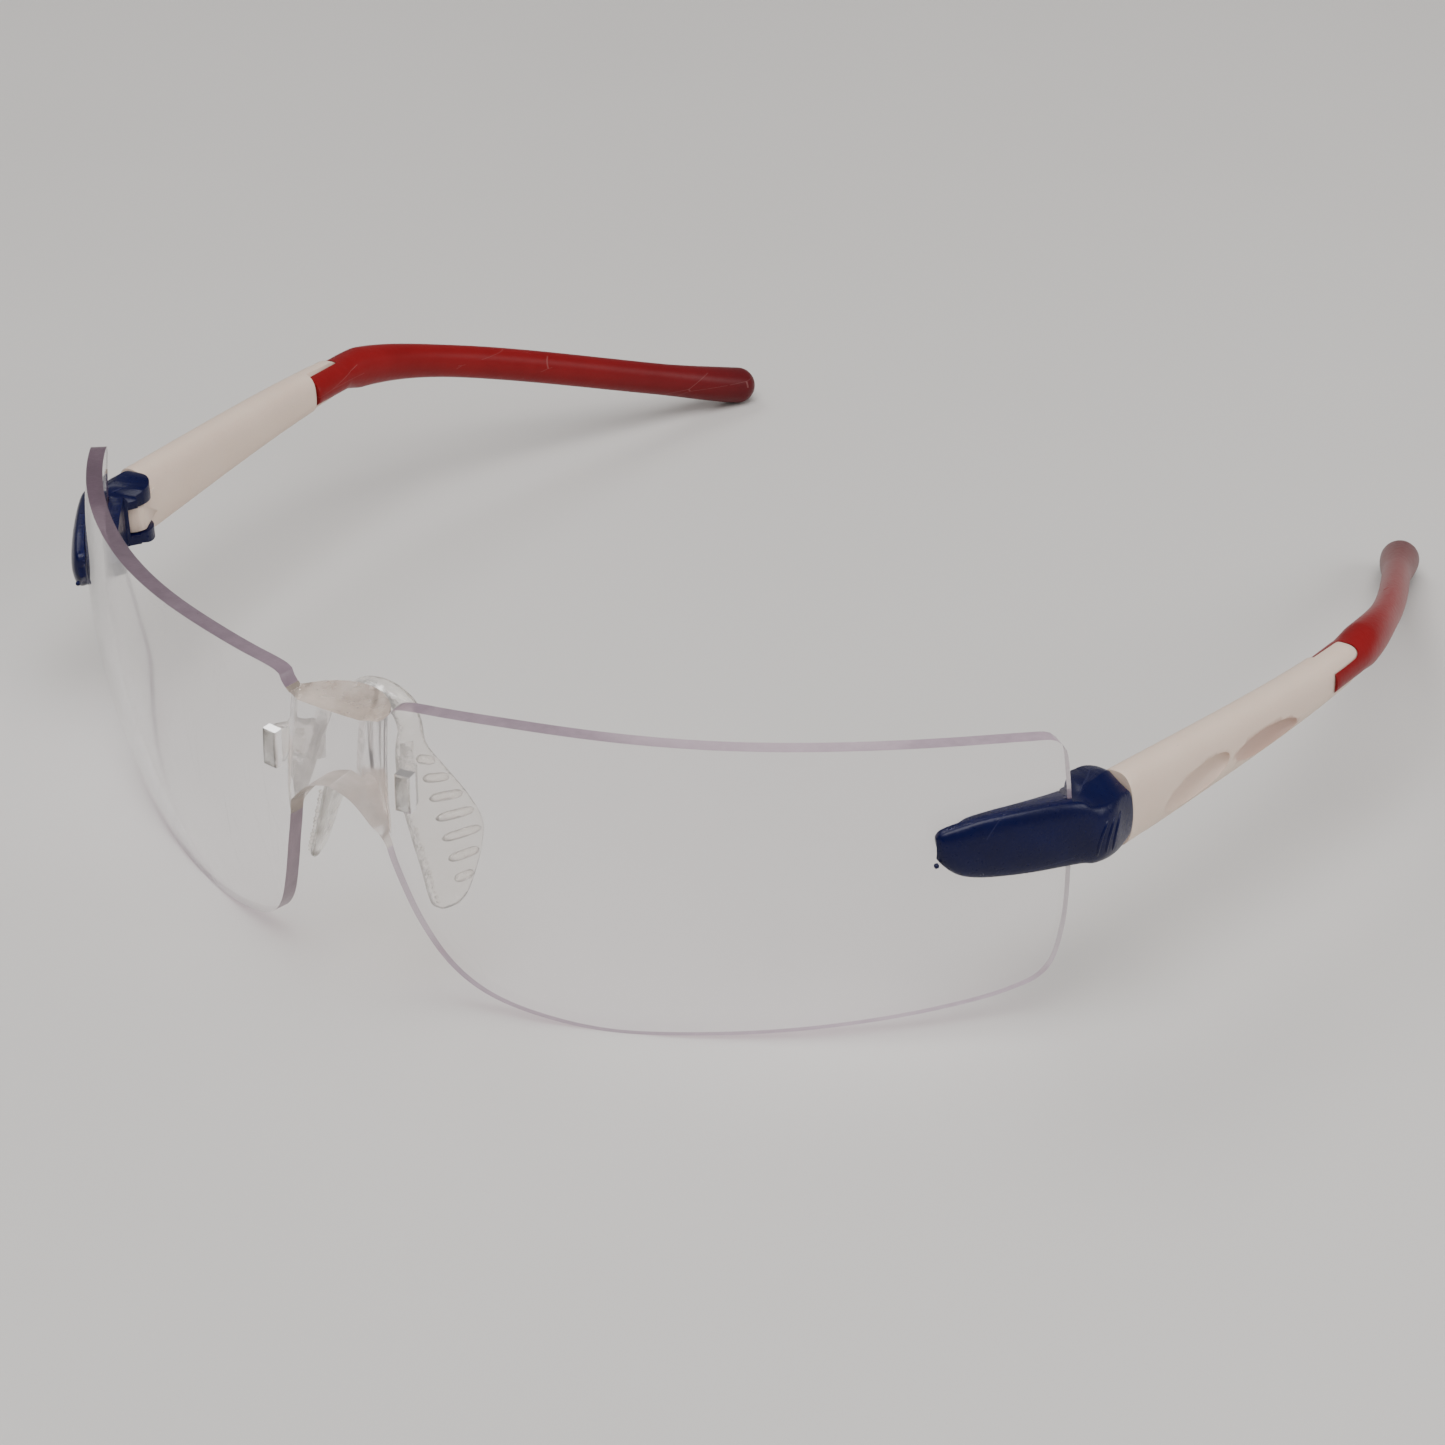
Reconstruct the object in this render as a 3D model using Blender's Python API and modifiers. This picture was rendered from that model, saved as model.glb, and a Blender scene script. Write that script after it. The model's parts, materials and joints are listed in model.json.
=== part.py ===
"""Rimless wraparound safety glasses, with folding temples.

One curved lens carries a clear nosepiece and two blue clips. Each clip holds a white temple on a
vertical hinge pin, and each temple ends in a soft red tip. Metres, +Z up, the wearer looks along -Y,
and the lens edge and both tips rest on z = 0.
"""

import math

import bmesh
import bpy
from mathutils import Matrix, Vector

MM = 0.001
GAP = 0.3 * MM  # clearance between pieces that touch

# Lens
LENS_THICKNESS = 2.0 * MM
LENS_HALF_ARC = 84.5 * MM  # from the middle to the side edge, along the front surface
LENS_HEIGHT = 39.1 * MM
NOSE_RADIUS = 82.0 * MM  # plan radius at the middle
SIDE_RADIUS = 95.7 * MM  # plan radius at the side edge
CROWN_RADIUS = 72.5 * MM  # radius of the vertical curve
CROWN_HEIGHT = 24.1 * MM  # height of the foremost line of the lens
LENS_CELL = 5.0 * MM  # spacing of the edges that let the flat blank bend

# Bridge, moulded in one piece with the lens
BRIDGE_HALF_WIDTH = 6.6 * MM
BRIDGE_DROP = 2.3 * MM  # its flat top lies this far under the top edge of the lens
BRIDGE_DEPTH = 6.2 * MM  # thickness at the middle
BRIDGE_CROWN = 0.7 * MM  # its front stands this far proud at the middle
ARCH_TOP = 27.7 * MM
ARCH_FOOT = 23.7 * MM

# Nosepiece, a soft clear moulding
LUG_ARC = 9.6 * MM  # where each lug passes through the lens
LUG_HEIGHT = 29.0 * MM
LUG_WIDTH = 1.6 * MM
LUG_LENGTH = 4.0 * MM
LUG_END = 7.4 * MM  # where the lug meets the pad, behind the lens front
SADDLE_BACK = 9.1 * MM  # middle of the saddle, behind the lens front
SADDLE_DEPTH = 2.6 * MM
SADDLE_RADIUS = 4.6 * MM
SADDLE_TOP = 36.5 * MM
SADDLE_WALL = 1.5 * MM
PAD_WALL = 1.4 * MM
PAD_FOOT = 12.0 * MM  # height of the lower end of the pads
PAD_SLOPE = 0.30  # how far a pad leans out for each unit down
PAD_FLARE = 0.35  # how far a pad leans out for each unit back
RIB_COUNT = 6
RIB_START = 0.27  # the ribs lie between these shares of the pad's height
RIB_END = 0.80
RIB_RISE = 1.0 * MM  # how far the front end of the top rib lies over its back end
RIB_DIAMETER = 1.2 * MM
RIB_FRONT = 8.6 * MM  # their front ends, behind the lens front

# Clips
LEAF = 1.6 * MM  # thickness of the leaves in front of the lens and behind it
LEAF_EDGE = 0.5 * MM  # what is left of it at the outer leaf's top and foot
CLIP_REACH = 15.5 * MM  # how far the leaves reach in over the lens
CLIP_TOP = 28.4 * MM
CLIP_FOOT = 21.3 * MM
CLIP_END_TOP = 28.9 * MM  # the hinge end is taller than the leaves
CLIP_END_FOOT = 20.7 * MM
CLIP_END_FALL = 1.0 * MM  # its top falls this far towards the inner side
LEAF_FLARE = 2.0  # how fast the inner side thickens behind the lens edge, for each unit along the clip
INNER_LEAF_DROP = 2.3 * MM  # the inner leaf's nose lies this far under the outer leaf's top
INNER_LEAF_LEAD = 2.4 * MM  # and this much further out than the outer leaf's nose
PEG_DIAMETER = 2.4 * MM  # the peg on the inner leaf that keys into the lens
PEG_INSET = 7.0 * MM
PEG_HEIGHT = 25.6 * MM

# Hinge
HINGE_IN = 1.3 * MM  # from the side edge of the lens to the axis, inwards
HINGE_BACK = 5.3 * MM  # and backwards
KNUCKLE_RADIUS = 2.4 * MM
LOBE_RADIUS = 2.7 * MM
WALL_REACH = 2.4 * MM  # how far that wall runs behind the axis
TONGUE_FOOT = 22.6 * MM
TONGUE_TOP = 26.0 * MM
PIN_TOP = 27.0 * MM
PIN_DIAMETER = 1.6 * MM
PIN_HEAD_DIAMETER = 2.8 * MM
PIN_HEAD_HEIGHT = 0.6 * MM

# Temples
TEMPLE_LENGTH = 49.0 * MM  # the white part, behind the hinge axis
TEMPLE_SPLAY = 6.2 * MM  # how far it runs outwards over that length
TEMPLE_BOW = 1.5 * MM  # how far its back end curves in again
TEMPLE_FRONT_WIDTH = 4.7 * MM
TEMPLE_FRONT_HEIGHT = 9.4 * MM
TEMPLE_FRONT_MIDDLE = 24.1 * MM
TEMPLE_BACK_WIDTH = 4.2 * MM
TEMPLE_BACK_HEIGHT = 5.0 * MM
TEMPLE_BACK_MIDDLE = 23.0 * MM
TEMPLE_OFFSET = 2.0 * MM  # the front end lies this far outside the hinge axis
SCOOP_DEPTH = 1.0 * MM
SCOOP_LENGTH = 13.5 * MM
SCOOP_HEIGHT = 4.6 * MM
SCOOP_START = 6.2 * MM  # behind the hinge axis
LAP_LENGTH = 8.0 * MM  # the tip lies inside the white end over this length

# Tips
TIP_RUN = 61.3 * MM  # from the white end to the middle of the bulb, backwards
TIP_TUCK = 23.1 * MM  # and inwards
TIP_START_LEAN = 0.04  # inward slope where it leaves the white end
TIP_END_LEAN = 0.42  # inward slope at the bulb
TIP_END_DIP = 0.34  # downward slope at the bulb
TIP_FRONT_WIDTH = 5.2 * MM
TIP_FRONT_HEIGHT = 5.8 * MM
TIP_STALK_WIDTH = 3.7 * MM
TIP_STALK_HEIGHT = 4.6 * MM
TIP_BULB_DIAMETER = 5.2 * MM

RING_SIDES = 16


# --- tools ---------------------------------------------------------------------------------------


def clear_scene():
    for obj in list(bpy.data.objects):
        bpy.data.objects.remove(obj, do_unlink=True)


def new_collection(name):
    collection = bpy.data.collections.new(name)
    bpy.context.scene.collection.children.link(collection)
    return collection


def make_material(name, colour, roughness, metallic=0.0):
    material = bpy.data.materials.new(name)
    material.use_nodes = True
    shader = material.node_tree.nodes["Principled BSDF"]
    shader.inputs["Base Color"].default_value = (*colour, 1.0)
    shader.inputs["Roughness"].default_value = roughness
    shader.inputs["Metallic"].default_value = metallic
    return material


def object_from_bmesh(name, mesh_data, collection):
    mesh = bpy.data.meshes.new(name)
    mesh_data.to_mesh(mesh)
    mesh_data.free()
    obj = bpy.data.objects.new(name, mesh)
    collection.objects.link(obj)
    return obj


def make_cutter(name, mesh_data):
    cutter = object_from_bmesh(name, mesh_data, cutters)
    cutter.hide_render = True
    cutter.display_type = "WIRE"
    return cutter


def prism(outline, low, high):
    """A closed prism over a flat outline of (u, v) points, from low to high along w."""
    solid = bmesh.new()
    base = [solid.verts.new((u, v, low)) for u, v in outline]
    face = solid.faces.new(base)
    raised = bmesh.ops.extrude_face_region(solid, geom=[face])
    top = [item for item in raised["geom"] if isinstance(item, bmesh.types.BMVert)]
    bmesh.ops.translate(solid, vec=(0.0, 0.0, high - low), verts=top)
    bmesh.ops.recalc_face_normals(solid, faces=solid.faces)
    return solid


def turn_upright(solid):
    """Turns a prism over an elevation, so that its second axis becomes up."""
    bmesh.ops.rotate(solid, cent=(0, 0, 0), matrix=Matrix.Rotation(math.pi / 2, 3, "X"), verts=solid.verts)
    return solid


def box(low, high):
    solid = bmesh.new()
    bmesh.ops.create_cube(solid, size=1.0)
    size = [b - a for a, b in zip(low, high)]
    middle = [(a + b) / 2 for a, b in zip(low, high)]
    bmesh.ops.scale(solid, vec=size, verts=solid.verts)
    bmesh.ops.translate(solid, vec=middle, verts=solid.verts)
    return solid


def cylinder(centre, diameter, low, high, sides=24):
    """An upright cylinder."""
    solid = bmesh.new()
    bmesh.ops.create_cone(
        solid,
        cap_ends=True,
        segments=sides,
        radius1=diameter / 2,
        radius2=diameter / 2,
        depth=high - low,
    )
    bmesh.ops.translate(solid, vec=(centre[0], centre[1], (low + high) / 2), verts=solid.verts)
    return solid


def loft(rings):
    """A closed solid through rings of points, capped at both ends."""
    solid = bmesh.new()
    loops = [[solid.verts.new(point) for point in ring] for ring in rings]
    for first, second in zip(loops, loops[1:]):
        for i in range(len(first)):
            j = (i + 1) % len(first)
            solid.faces.new((first[i], first[j], second[j], second[i]))
    solid.faces.new(reversed(loops[0]))
    solid.faces.new(loops[-1])
    bmesh.ops.recalc_face_normals(solid, faces=solid.faces)
    return solid


def smooth_curve(points, steps=6):
    """A Catmull-Rom curve through the points, from the first to the last."""
    padded = [points[0] * 2 - points[1]] + points + [points[-1] * 2 - points[-2]]
    curve = []
    for i in range(1, len(padded) - 2):
        p0, p1, p2, p3 = padded[i - 1 : i + 3]
        for k in range(steps):
            t = k / steps
            curve.append(
                0.5
                * (
                    2 * p1
                    + (p2 - p0) * t
                    + (2 * p0 - 5 * p1 + 4 * p2 - p3) * t**2
                    + (3 * p1 - p0 - 3 * p2 + p3) * t**3
                )
            )
    return curve + [points[-1]]


def bezier_point(controls, t):
    a, b, c, d = controls
    s = 1 - t
    return a * s**3 + b * 3 * s**2 * t + c * 3 * s * t**2 + d * t**3


def boolean(obj, operation, cutter):
    modifier = obj.modifiers.new(cutter.name, "BOOLEAN")
    modifier.operation = operation
    modifier.object = cutter
    modifier.solver = "EXACT"


def settle(obj):
    """Replaces an object's mesh with the result of its modifiers."""
    graph = bpy.context.evaluated_depsgraph_get()
    mesh = bpy.data.meshes.new_from_object(obj.evaluated_get(graph))
    obj.modifiers.clear()
    obj.data = mesh


def weld(obj):
    solid = bmesh.new()
    solid.from_mesh(obj.data)
    bmesh.ops.remove_doubles(solid, verts=solid.verts, dist=0.00001)
    bmesh.ops.dissolve_degenerate(solid, edges=solid.edges, dist=0.00001)
    solid.to_mesh(obj.data)
    solid.free()


def finish(obj, material, origin=(0.0, 0.0, 0.0), angle=35.0):
    """Gives a piece its origin, material and shading, and hangs it on the frame."""
    obj.data.transform(Matrix.Translation(-Vector(origin)))
    obj.location = origin
    obj.data.materials.clear()
    obj.data.materials.append(material)
    obj.data.shade_smooth()
    obj.data.set_sharp_from_angle(angle=math.radians(angle))
    obj.parent = frame_point
    return obj


def mirror_copy(obj, name):
    """The same piece on the other side of the middle plane."""
    mesh = obj.data.copy()
    mesh.transform(Matrix.Scale(-1.0, 4, (1.0, 0.0, 0.0)))
    mesh.flip_normals()
    twin = bpy.data.objects.new(name, mesh)
    twin.location = (-obj.location.x, obj.location.y, obj.location.z)
    twin.parent = obj.parent
    parts.objects.link(twin)
    return twin


# --- the curved lens surface -----------------------------------------------------------------------


def plan_angle(arc):
    """How far the lens has turned from straight across, at an arc length from the middle."""
    change = (1 / SIDE_RADIUS - 1 / NOSE_RADIUS) / (2 * LENS_HALF_ARC)
    return arc / NOSE_RADIUS + change * arc * abs(arc)


def plan_point(arc, steps=48):
    """The front line of the lens in plan, at an arc length from the middle."""
    step = arc / steps
    x = sum(math.cos(plan_angle((i + 0.5) * step)) for i in range(steps)) * step
    y = sum(math.sin(plan_angle((i + 0.5) * step)) for i in range(steps)) * step
    return x, y


def lens_point(arc, depth, height):
    """A point of the lens: along it, into it from the front surface, and up."""
    x, y = plan_point(arc)
    angle = plan_angle(arc)
    into = depth + (height - CROWN_HEIGHT) ** 2 / (2 * CROWN_RADIUS)
    return Vector((x - math.sin(angle) * into, y + math.cos(angle) * into, height))


def bend(solid):
    """Bends a flat solid, laid out as (arc, depth, height), over the lens surface."""
    bmesh.ops.triangulate(solid, faces=solid.faces)
    for vert in solid.verts:
        vert.co = lens_point(*vert.co)


def bridge_swell(arc):
    """1 at the middle of the bridge, falling to 0 at its sides."""
    share = min(1.0, abs(arc) / BRIDGE_HALF_WIDTH)
    return (1 - share**2) ** 0.75


def slice_solid(solid, axis, spacing, reach):
    """Adds edges across a solid at regular stations, so that it can be bent."""
    count = int(reach / spacing)
    normal = Vector((0, 0, 0))
    normal[axis] = 1.0
    for i in range(-count, count + 1):
        place = normal * (i * spacing)
        geometry = list(solid.verts) + list(solid.edges) + list(solid.faces)
        bmesh.ops.bisect_plane(solid, geom=geometry, dist=1e-6, plane_co=place, plane_no=normal)


def lens_half_outline():
    """The right half of the blank's outline, from the middle of the top to the middle of the arch."""
    arc = LENS_HALF_ARC
    top = LENS_HEIGHT
    shelf = top - BRIDGE_DROP
    side = BRIDGE_HALF_WIDTH
    edge = [
        (side - 1.0 * MM, shelf),
        (side + 0.8 * MM, shelf + 0.25 * BRIDGE_DROP),
        (side + 2.6 * MM, top - 0.5 * MM),
        (side + 8.0 * MM, top - 0.1 * MM),
        (0.30 * arc, top),
        (0.52 * arc, top - 0.6 * MM),
        (0.76 * arc, top - 1.4 * MM),
        (0.94 * arc, top - 2.5 * MM),
        (arc - 0.8 * MM, top - 3.6 * MM),
        (arc, top - 7.5 * MM),
        (arc, 0.55 * top),
        (arc - 0.3 * MM, 0.31 * top),
        (arc - 1.8 * MM, 0.16 * top),
        (arc - 6.3 * MM, 0.105 * top),
        (0.82 * arc, 0.070 * top),
        (0.66 * arc, 0.036 * top),
        (0.50 * arc, 0.012 * top),
        (0.37 * arc, 0.0),
        (0.27 * arc, 0.028 * top),
        (side + 10.2 * MM, 0.08 * top),
        (side + 6.2 * MM, 0.17 * top),
        (side + 3.3 * MM, 0.31 * top),
        (side + 1.1 * MM, ARCH_FOOT - 5.0 * MM),
        (side, ARCH_FOOT - 0.9 * MM),
        (side - 1.2 * MM, ARCH_FOOT + 0.9 * MM),
        (0.45 * side, ARCH_TOP - 0.9 * MM),
        (0.0, ARCH_TOP),
    ]
    curve = smooth_curve([Vector(point) for point in edge], steps=3)
    return [Vector((0.0, shelf))] + curve


def make_lens():
    half = lens_half_outline()
    outline = half + [Vector((-u, v)) for u, v in reversed(half[1:-1])]
    blank = turn_upright(prism(outline, -LENS_THICKNESS, 0.0))
    slice_solid(blank, 0, LENS_CELL, LENS_HALF_ARC)
    slice_solid(blank, 0, 1.1 * MM, BRIDGE_HALF_WIDTH)
    slice_solid(blank, 2, LENS_CELL, LENS_HEIGHT)
    for vert in blank.verts:
        swell = bridge_swell(vert.co.x)
        if vert.co.y > LENS_THICKNESS / 2:
            vert.co.y += swell * (BRIDGE_DEPTH - LENS_THICKNESS - BRIDGE_CROWN)
        else:
            vert.co.y -= swell * BRIDGE_CROWN
    bend(blank)
    lens = object_from_bmesh("lens", blank, parts)
    for side in (1, -1):
        arc = side * LUG_ARC
        half_width = LUG_WIDTH / 2 + GAP
        half_length = LUG_LENGTH / 2 + GAP
        slot = box(
            (arc - half_width, -2 * MM, LUG_HEIGHT - half_length),
            (arc + half_width, LENS_THICKNESS + 2 * MM, LUG_HEIGHT + half_length),
        )
        bend(slot)
        boolean(lens, "DIFFERENCE", make_cutter(f"lug_slot_{side}", slot))
        boolean(lens, "DIFFERENCE", make_cutter(f"peg_hole_{side}", make_peg(side, GAP, 2 * MM)))
    settle(lens)
    weld(lens)
    return finish(lens, clear_material, angle=30.0)


def make_peg(side, clearance, past):
    """The round peg between the clip's leaves, or the hole for it."""
    peg = cylinder((0, 0), PEG_DIAMETER + 2 * clearance, -past, LENS_THICKNESS + GAP + past, sides=20)
    turn_upright(peg)
    bmesh.ops.scale(peg, vec=(1, -1, 1), verts=peg.verts)
    bmesh.ops.reverse_faces(peg, faces=peg.faces)
    arc = LENS_HALF_ARC - PEG_INSET
    bmesh.ops.translate(peg, vec=(side * arc, 0.0, PEG_HEIGHT), verts=peg.verts)
    bend(peg)
    return peg


# --- the nosepiece ---------------------------------------------------------------------------------


def pad_point(back, height):
    """A point on the middle surface of the left pad, at a place behind the lens front and a height."""
    x = SADDLE_RADIUS + PAD_SLOPE * (SADDLE_TOP - SADDLE_RADIUS - height) + PAD_FLARE * (back - SADDLE_BACK)
    return Vector((x, back, height))


def pad_stations():
    """Down the pad: the share of its height, its front and back edges, and its wall."""
    middle = SADDLE_BACK
    return (
        (0.00, middle - SADDLE_DEPTH / 2, middle + SADDLE_DEPTH / 2, SADDLE_WALL),
        (0.11, middle - 2.4 * MM, middle + 1.2 * MM, PAD_WALL),
        (0.28, middle - 3.2 * MM, middle + 2.6 * MM, PAD_WALL),
        (0.45, middle - 3.5 * MM, middle + 4.0 * MM, PAD_WALL),
        (0.62, middle - 3.6 * MM, middle + 4.7 * MM, PAD_WALL),
        (0.76, middle - 3.6 * MM, middle + 3.6 * MM, PAD_WALL),
        (0.88, middle - 3.7 * MM, middle + 2.0 * MM, PAD_WALL),
        (0.96, middle - 3.6 * MM, middle + 0.6 * MM, PAD_WALL),
        (1.00, middle - 2.9 * MM, middle - 0.6 * MM, 0.6 * PAD_WALL),
    )


def pad_back_edge(share):
    """The back edge of the pad at a share of its height."""
    stations = pad_stations()
    for (low, _, near, _), (high, _, far, _) in zip(stations, stations[1:]):
        if share <= high:
            return near + (far - near) * (share - low) / (high - low)
    return stations[-1][2]


def pad_section(side, station):
    """A flat rounded section of a pad, thin across it and long from front to back."""
    share, front, back, wall = station
    spring = SADDLE_TOP - SADDLE_RADIUS
    height = spring + share * (PAD_FOOT - spring)
    ring = []
    for along, across in flat_oval((back - front) / 2, wall / 2):
        point = pad_point((front + back) / 2 + along, height)
        ring.append((side * (point.x + across), point.y, point.z))
    return ring


def flat_oval(half_length, half_wall):
    """Places round a flat section with full ends."""
    places = []
    for i in range(RING_SIDES):
        turn = 2 * math.pi * i / RING_SIDES
        along = math.copysign(abs(math.cos(turn)) ** 0.6, math.cos(turn)) * half_length
        places.append((along, math.sin(turn) * half_wall))
    return places


def saddle_rings():
    """Sections of the arch over the nose, from the left leg round to the right leg."""
    rings = []
    spring = SADDLE_TOP - SADDLE_RADIUS
    middle_radius = SADDLE_RADIUS - SADDLE_WALL / 2
    steps = 12
    for k in range(1, steps):
        turn = math.pi * k / steps
        ring = []
        for along, across in flat_oval(SADDLE_DEPTH / 2, SADDLE_WALL / 2):
            lean = PAD_FLARE * along * math.cos(turn)
            x = math.cos(turn) * (SADDLE_RADIUS + across) + lean
            z = spring + math.sin(turn) * (middle_radius + across)
            ring.append((x, SADDLE_BACK + along, z))
        rings.append(ring)
    return rings


def make_nosepiece():
    """The saddle and both pads are one loft from foot to foot, with ribs and lugs joined on."""
    left = [pad_section(1, station) for station in reversed(pad_stations())]
    right = [pad_section(-1, station) for station in pad_stations()]
    nosepiece = object_from_bmesh("nosepiece", loft(left + saddle_rings() + right), parts)
    for side in (1, -1):
        for k in range(RIB_COUNT):
            boolean(nosepiece, "UNION", make_cutter(f"rib_{side}_{k}", make_rib(side, k)))
        boolean(nosepiece, "UNION", make_cutter(f"lug_{side}", make_lug(side)))
    settle(nosepiece)
    weld(nosepiece)
    return finish(nosepiece, soft_clear_material)


def make_rib(side, index):
    """A short round rib along the outer face of a pad, up to its back edge."""
    spring = SADDLE_TOP - SADDLE_RADIUS
    place = index / (RIB_COUNT - 1)
    share = RIB_START + (RIB_END - RIB_START) * place
    height = spring + share * (PAD_FOOT - spring)
    back = pad_back_edge(share) - RIB_DIAMETER / 2
    start = pad_point(RIB_FRONT, height + RIB_RISE * (1 - place))
    end = pad_point(back, height)
    shift = Vector((0.75 * PAD_WALL, 0.0, 0.0))
    direction = end - start
    rib = cylinder((0, 0), RIB_DIAMETER, -direction.length / 2, direction.length / 2, sides=10)
    turn = direction.to_track_quat("Z", "Y").to_matrix()
    bmesh.ops.rotate(rib, cent=(0, 0, 0), matrix=turn, verts=rib.verts)
    bmesh.ops.translate(rib, vec=(start + end) / 2 + shift, verts=rib.verts)
    if side < 0:
        bmesh.ops.scale(rib, vec=(-1, 1, 1), verts=rib.verts)
        bmesh.ops.reverse_faces(rib, faces=rib.faces)
    return rib


def make_lug(side):
    """The lug that runs from the pad's front edge forwards through its slot in the lens."""
    arc = side * LUG_ARC
    lug = box(
        (arc - LUG_WIDTH / 2, 0.0, LUG_HEIGHT - LUG_LENGTH / 2),
        (arc + LUG_WIDTH / 2, LUG_END, LUG_HEIGHT + LUG_LENGTH / 2),
    )
    straight = (0.0, LENS_THICKNESS + GAP, 0.0)
    bmesh.ops.bisect_plane(
        lug,
        geom=list(lug.verts) + list(lug.edges) + list(lug.faces),
        dist=1e-6,
        plane_co=straight,
        plane_no=(0.0, 1.0, 0.0),
    )
    bend(lug)
    pad_x = side * pad_point(LUG_END, LUG_HEIGHT).x
    rear = [vert for vert in lug.verts if vert.co.y > (LENS_THICKNESS + LUG_END) / 2]
    middle = sum(vert.co.x for vert in rear) / len(rear)
    bmesh.ops.translate(lug, vec=(pad_x - middle, 0, 0), verts=rear)
    return lug


# --- clips and hinges --------------------------------------------------------------------------------


def hinge_axis():
    x, y = plan_point(LENS_HALF_ARC)
    return Vector((x - HINGE_IN, y + HINGE_BACK, 0.0))


def clip_stations():
    """Along the clip: arc, depth of its outer face, where that meets the top, top, inner top, foot."""
    nose = LENS_HALF_ARC - CLIP_REACH
    edge = LENS_HALF_ARC
    face = -GAP - LEAF
    rim = -GAP - LEAF_EDGE
    top = CLIP_TOP
    foot = CLIP_FOOT
    drop = INNER_LEAF_DROP
    end_top = CLIP_END_TOP
    end_foot = CLIP_END_FOOT
    return (
        (nose, 0.55 * face, rim, foot + 6.0 * MM, top - 1.2 * drop, foot + 3.6 * MM),
        (nose + 0.5 * MM, 0.8 * face, rim, top - 0.5 * MM, top - 1.05 * drop, foot + 2.9 * MM),
        (nose + 1.6 * MM, 0.95 * face, rim, top - 0.1 * MM, top - 0.83 * drop, foot + 1.8 * MM),
        (nose + 3.0 * MM, face, rim, top + 0.2 * MM, top - 0.63 * drop, foot + 1.0 * MM),
        (nose + 5.4 * MM, face, rim, top + 0.6 * MM, top - 0.5 * drop, foot + 0.45 * MM),
        (nose + 9.7 * MM, face, rim, top + 0.8 * MM, top - 0.33 * drop, foot + 0.1 * MM),
        (edge - 1.5 * MM, face, rim, top + 0.8 * MM, top - 0.15 * drop, foot),
        (edge + 0.8 * MM, face, rim, top + 0.5 * MM, top, foot - 0.1 * MM),
        (edge + 2.2 * MM, face, -0.6 * MM, top - 0.3 * MM, end_top, end_foot + 0.1 * MM),
        (edge + 3.6 * MM, face + 0.2 * MM, -0.2 * MM, top - 0.6 * MM, end_top + 0.2 * MM, end_foot),
        (edge + 5.0 * MM, -1.0 * MM, 0.3 * MM, top - 0.7 * MM, end_top + 0.4 * MM, end_foot),
        (edge + 6.5 * MM, 0.2 * MM, 1.2 * MM, top - 0.8 * MM, end_top, end_foot),
        (edge + 8.6 * MM, 1.6 * MM, 2.4 * MM, top - 1.6 * MM, end_top - 1.7 * MM, end_foot + 0.8 * MM),
    )


def clip_ring(arc, face, rim, top, inner_top, foot):
    """The clip across the lens: a bulging outer face, and an inner leaf with its own top."""
    middle = (top + foot) / 2
    half = (top - foot) / 2
    step = LENS_THICKNESS / 2
    crest = step + 0.2 * MM
    step_top = top
    inner = LENS_THICKNESS + GAP + LEAF
    fall = 0.0
    if arc > LENS_HALF_ARC:
        step = rim + 1.2 * MM
        crest = rim + 2.6 * MM
        step_top = (top + inner_top) / 2
        inner = min(inner + LEAF_FLARE * (arc - LENS_HALF_ARC), HINGE_BACK + LOBE_RADIUS)
        fall = CLIP_END_FALL
    places = []
    for i in range(9):
        turn = math.radians(-90 + 22.5 * i)
        bulge = (rim - face) * max(0.0, math.cos(turn)) ** 0.8
        places.append((rim - bulge, middle + half * math.sin(turn)))
    share = (arc - LENS_HALF_ARC + CLIP_REACH) / (0.5 * CLIP_REACH)
    lead = INNER_LEAF_LEAD * max(0.0, 1 - share)
    ring = [lens_point(arc, depth, height) for depth, height in places]
    ring.append(lens_point(arc, step, step_top))
    ring.append(lens_point(arc + 0.5 * lead, crest, inner_top))
    ring.append(lens_point(arc + lead, inner, inner_top - fall))
    ring.append(lens_point(arc + lead, inner, foot + 0.25 * lead))
    return ring


def behind_hinge(axis):
    """In plan, everything behind the clip's outer wall and its round lobes."""
    far = 30 * MM
    plan = [Vector((axis.x + far, axis.y + far)), Vector((axis.x + far, axis.y + WALL_REACH))]
    for i in range(10):
        turn = math.radians(62 + 148 * i / 9)
        plan.append(axis.to_2d() + Vector((math.cos(turn), math.sin(turn))) * LOBE_RADIUS)
    plan.append(Vector((axis.x - far, axis.y - 0.3 * far)))
    plan.append(Vector((axis.x - far, axis.y + far)))
    return plan


def fork_plan(axis):
    """Everything the temple's tongue sweeps as it folds, with clearance."""
    reach = KNUCKLE_RADIUS + GAP
    far = 20 * MM
    plan = [Vector((axis.x + reach, axis.y + far)), Vector((axis.x - far, axis.y + far))]
    plan.append(Vector((axis.x - far, axis.y - reach)))
    for i in range(10):
        turn = math.radians(-90 + 90 * i / 9)
        plan.append(Vector((axis.x + reach * math.cos(turn), axis.y + reach * math.sin(turn))))
    return plan


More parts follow.
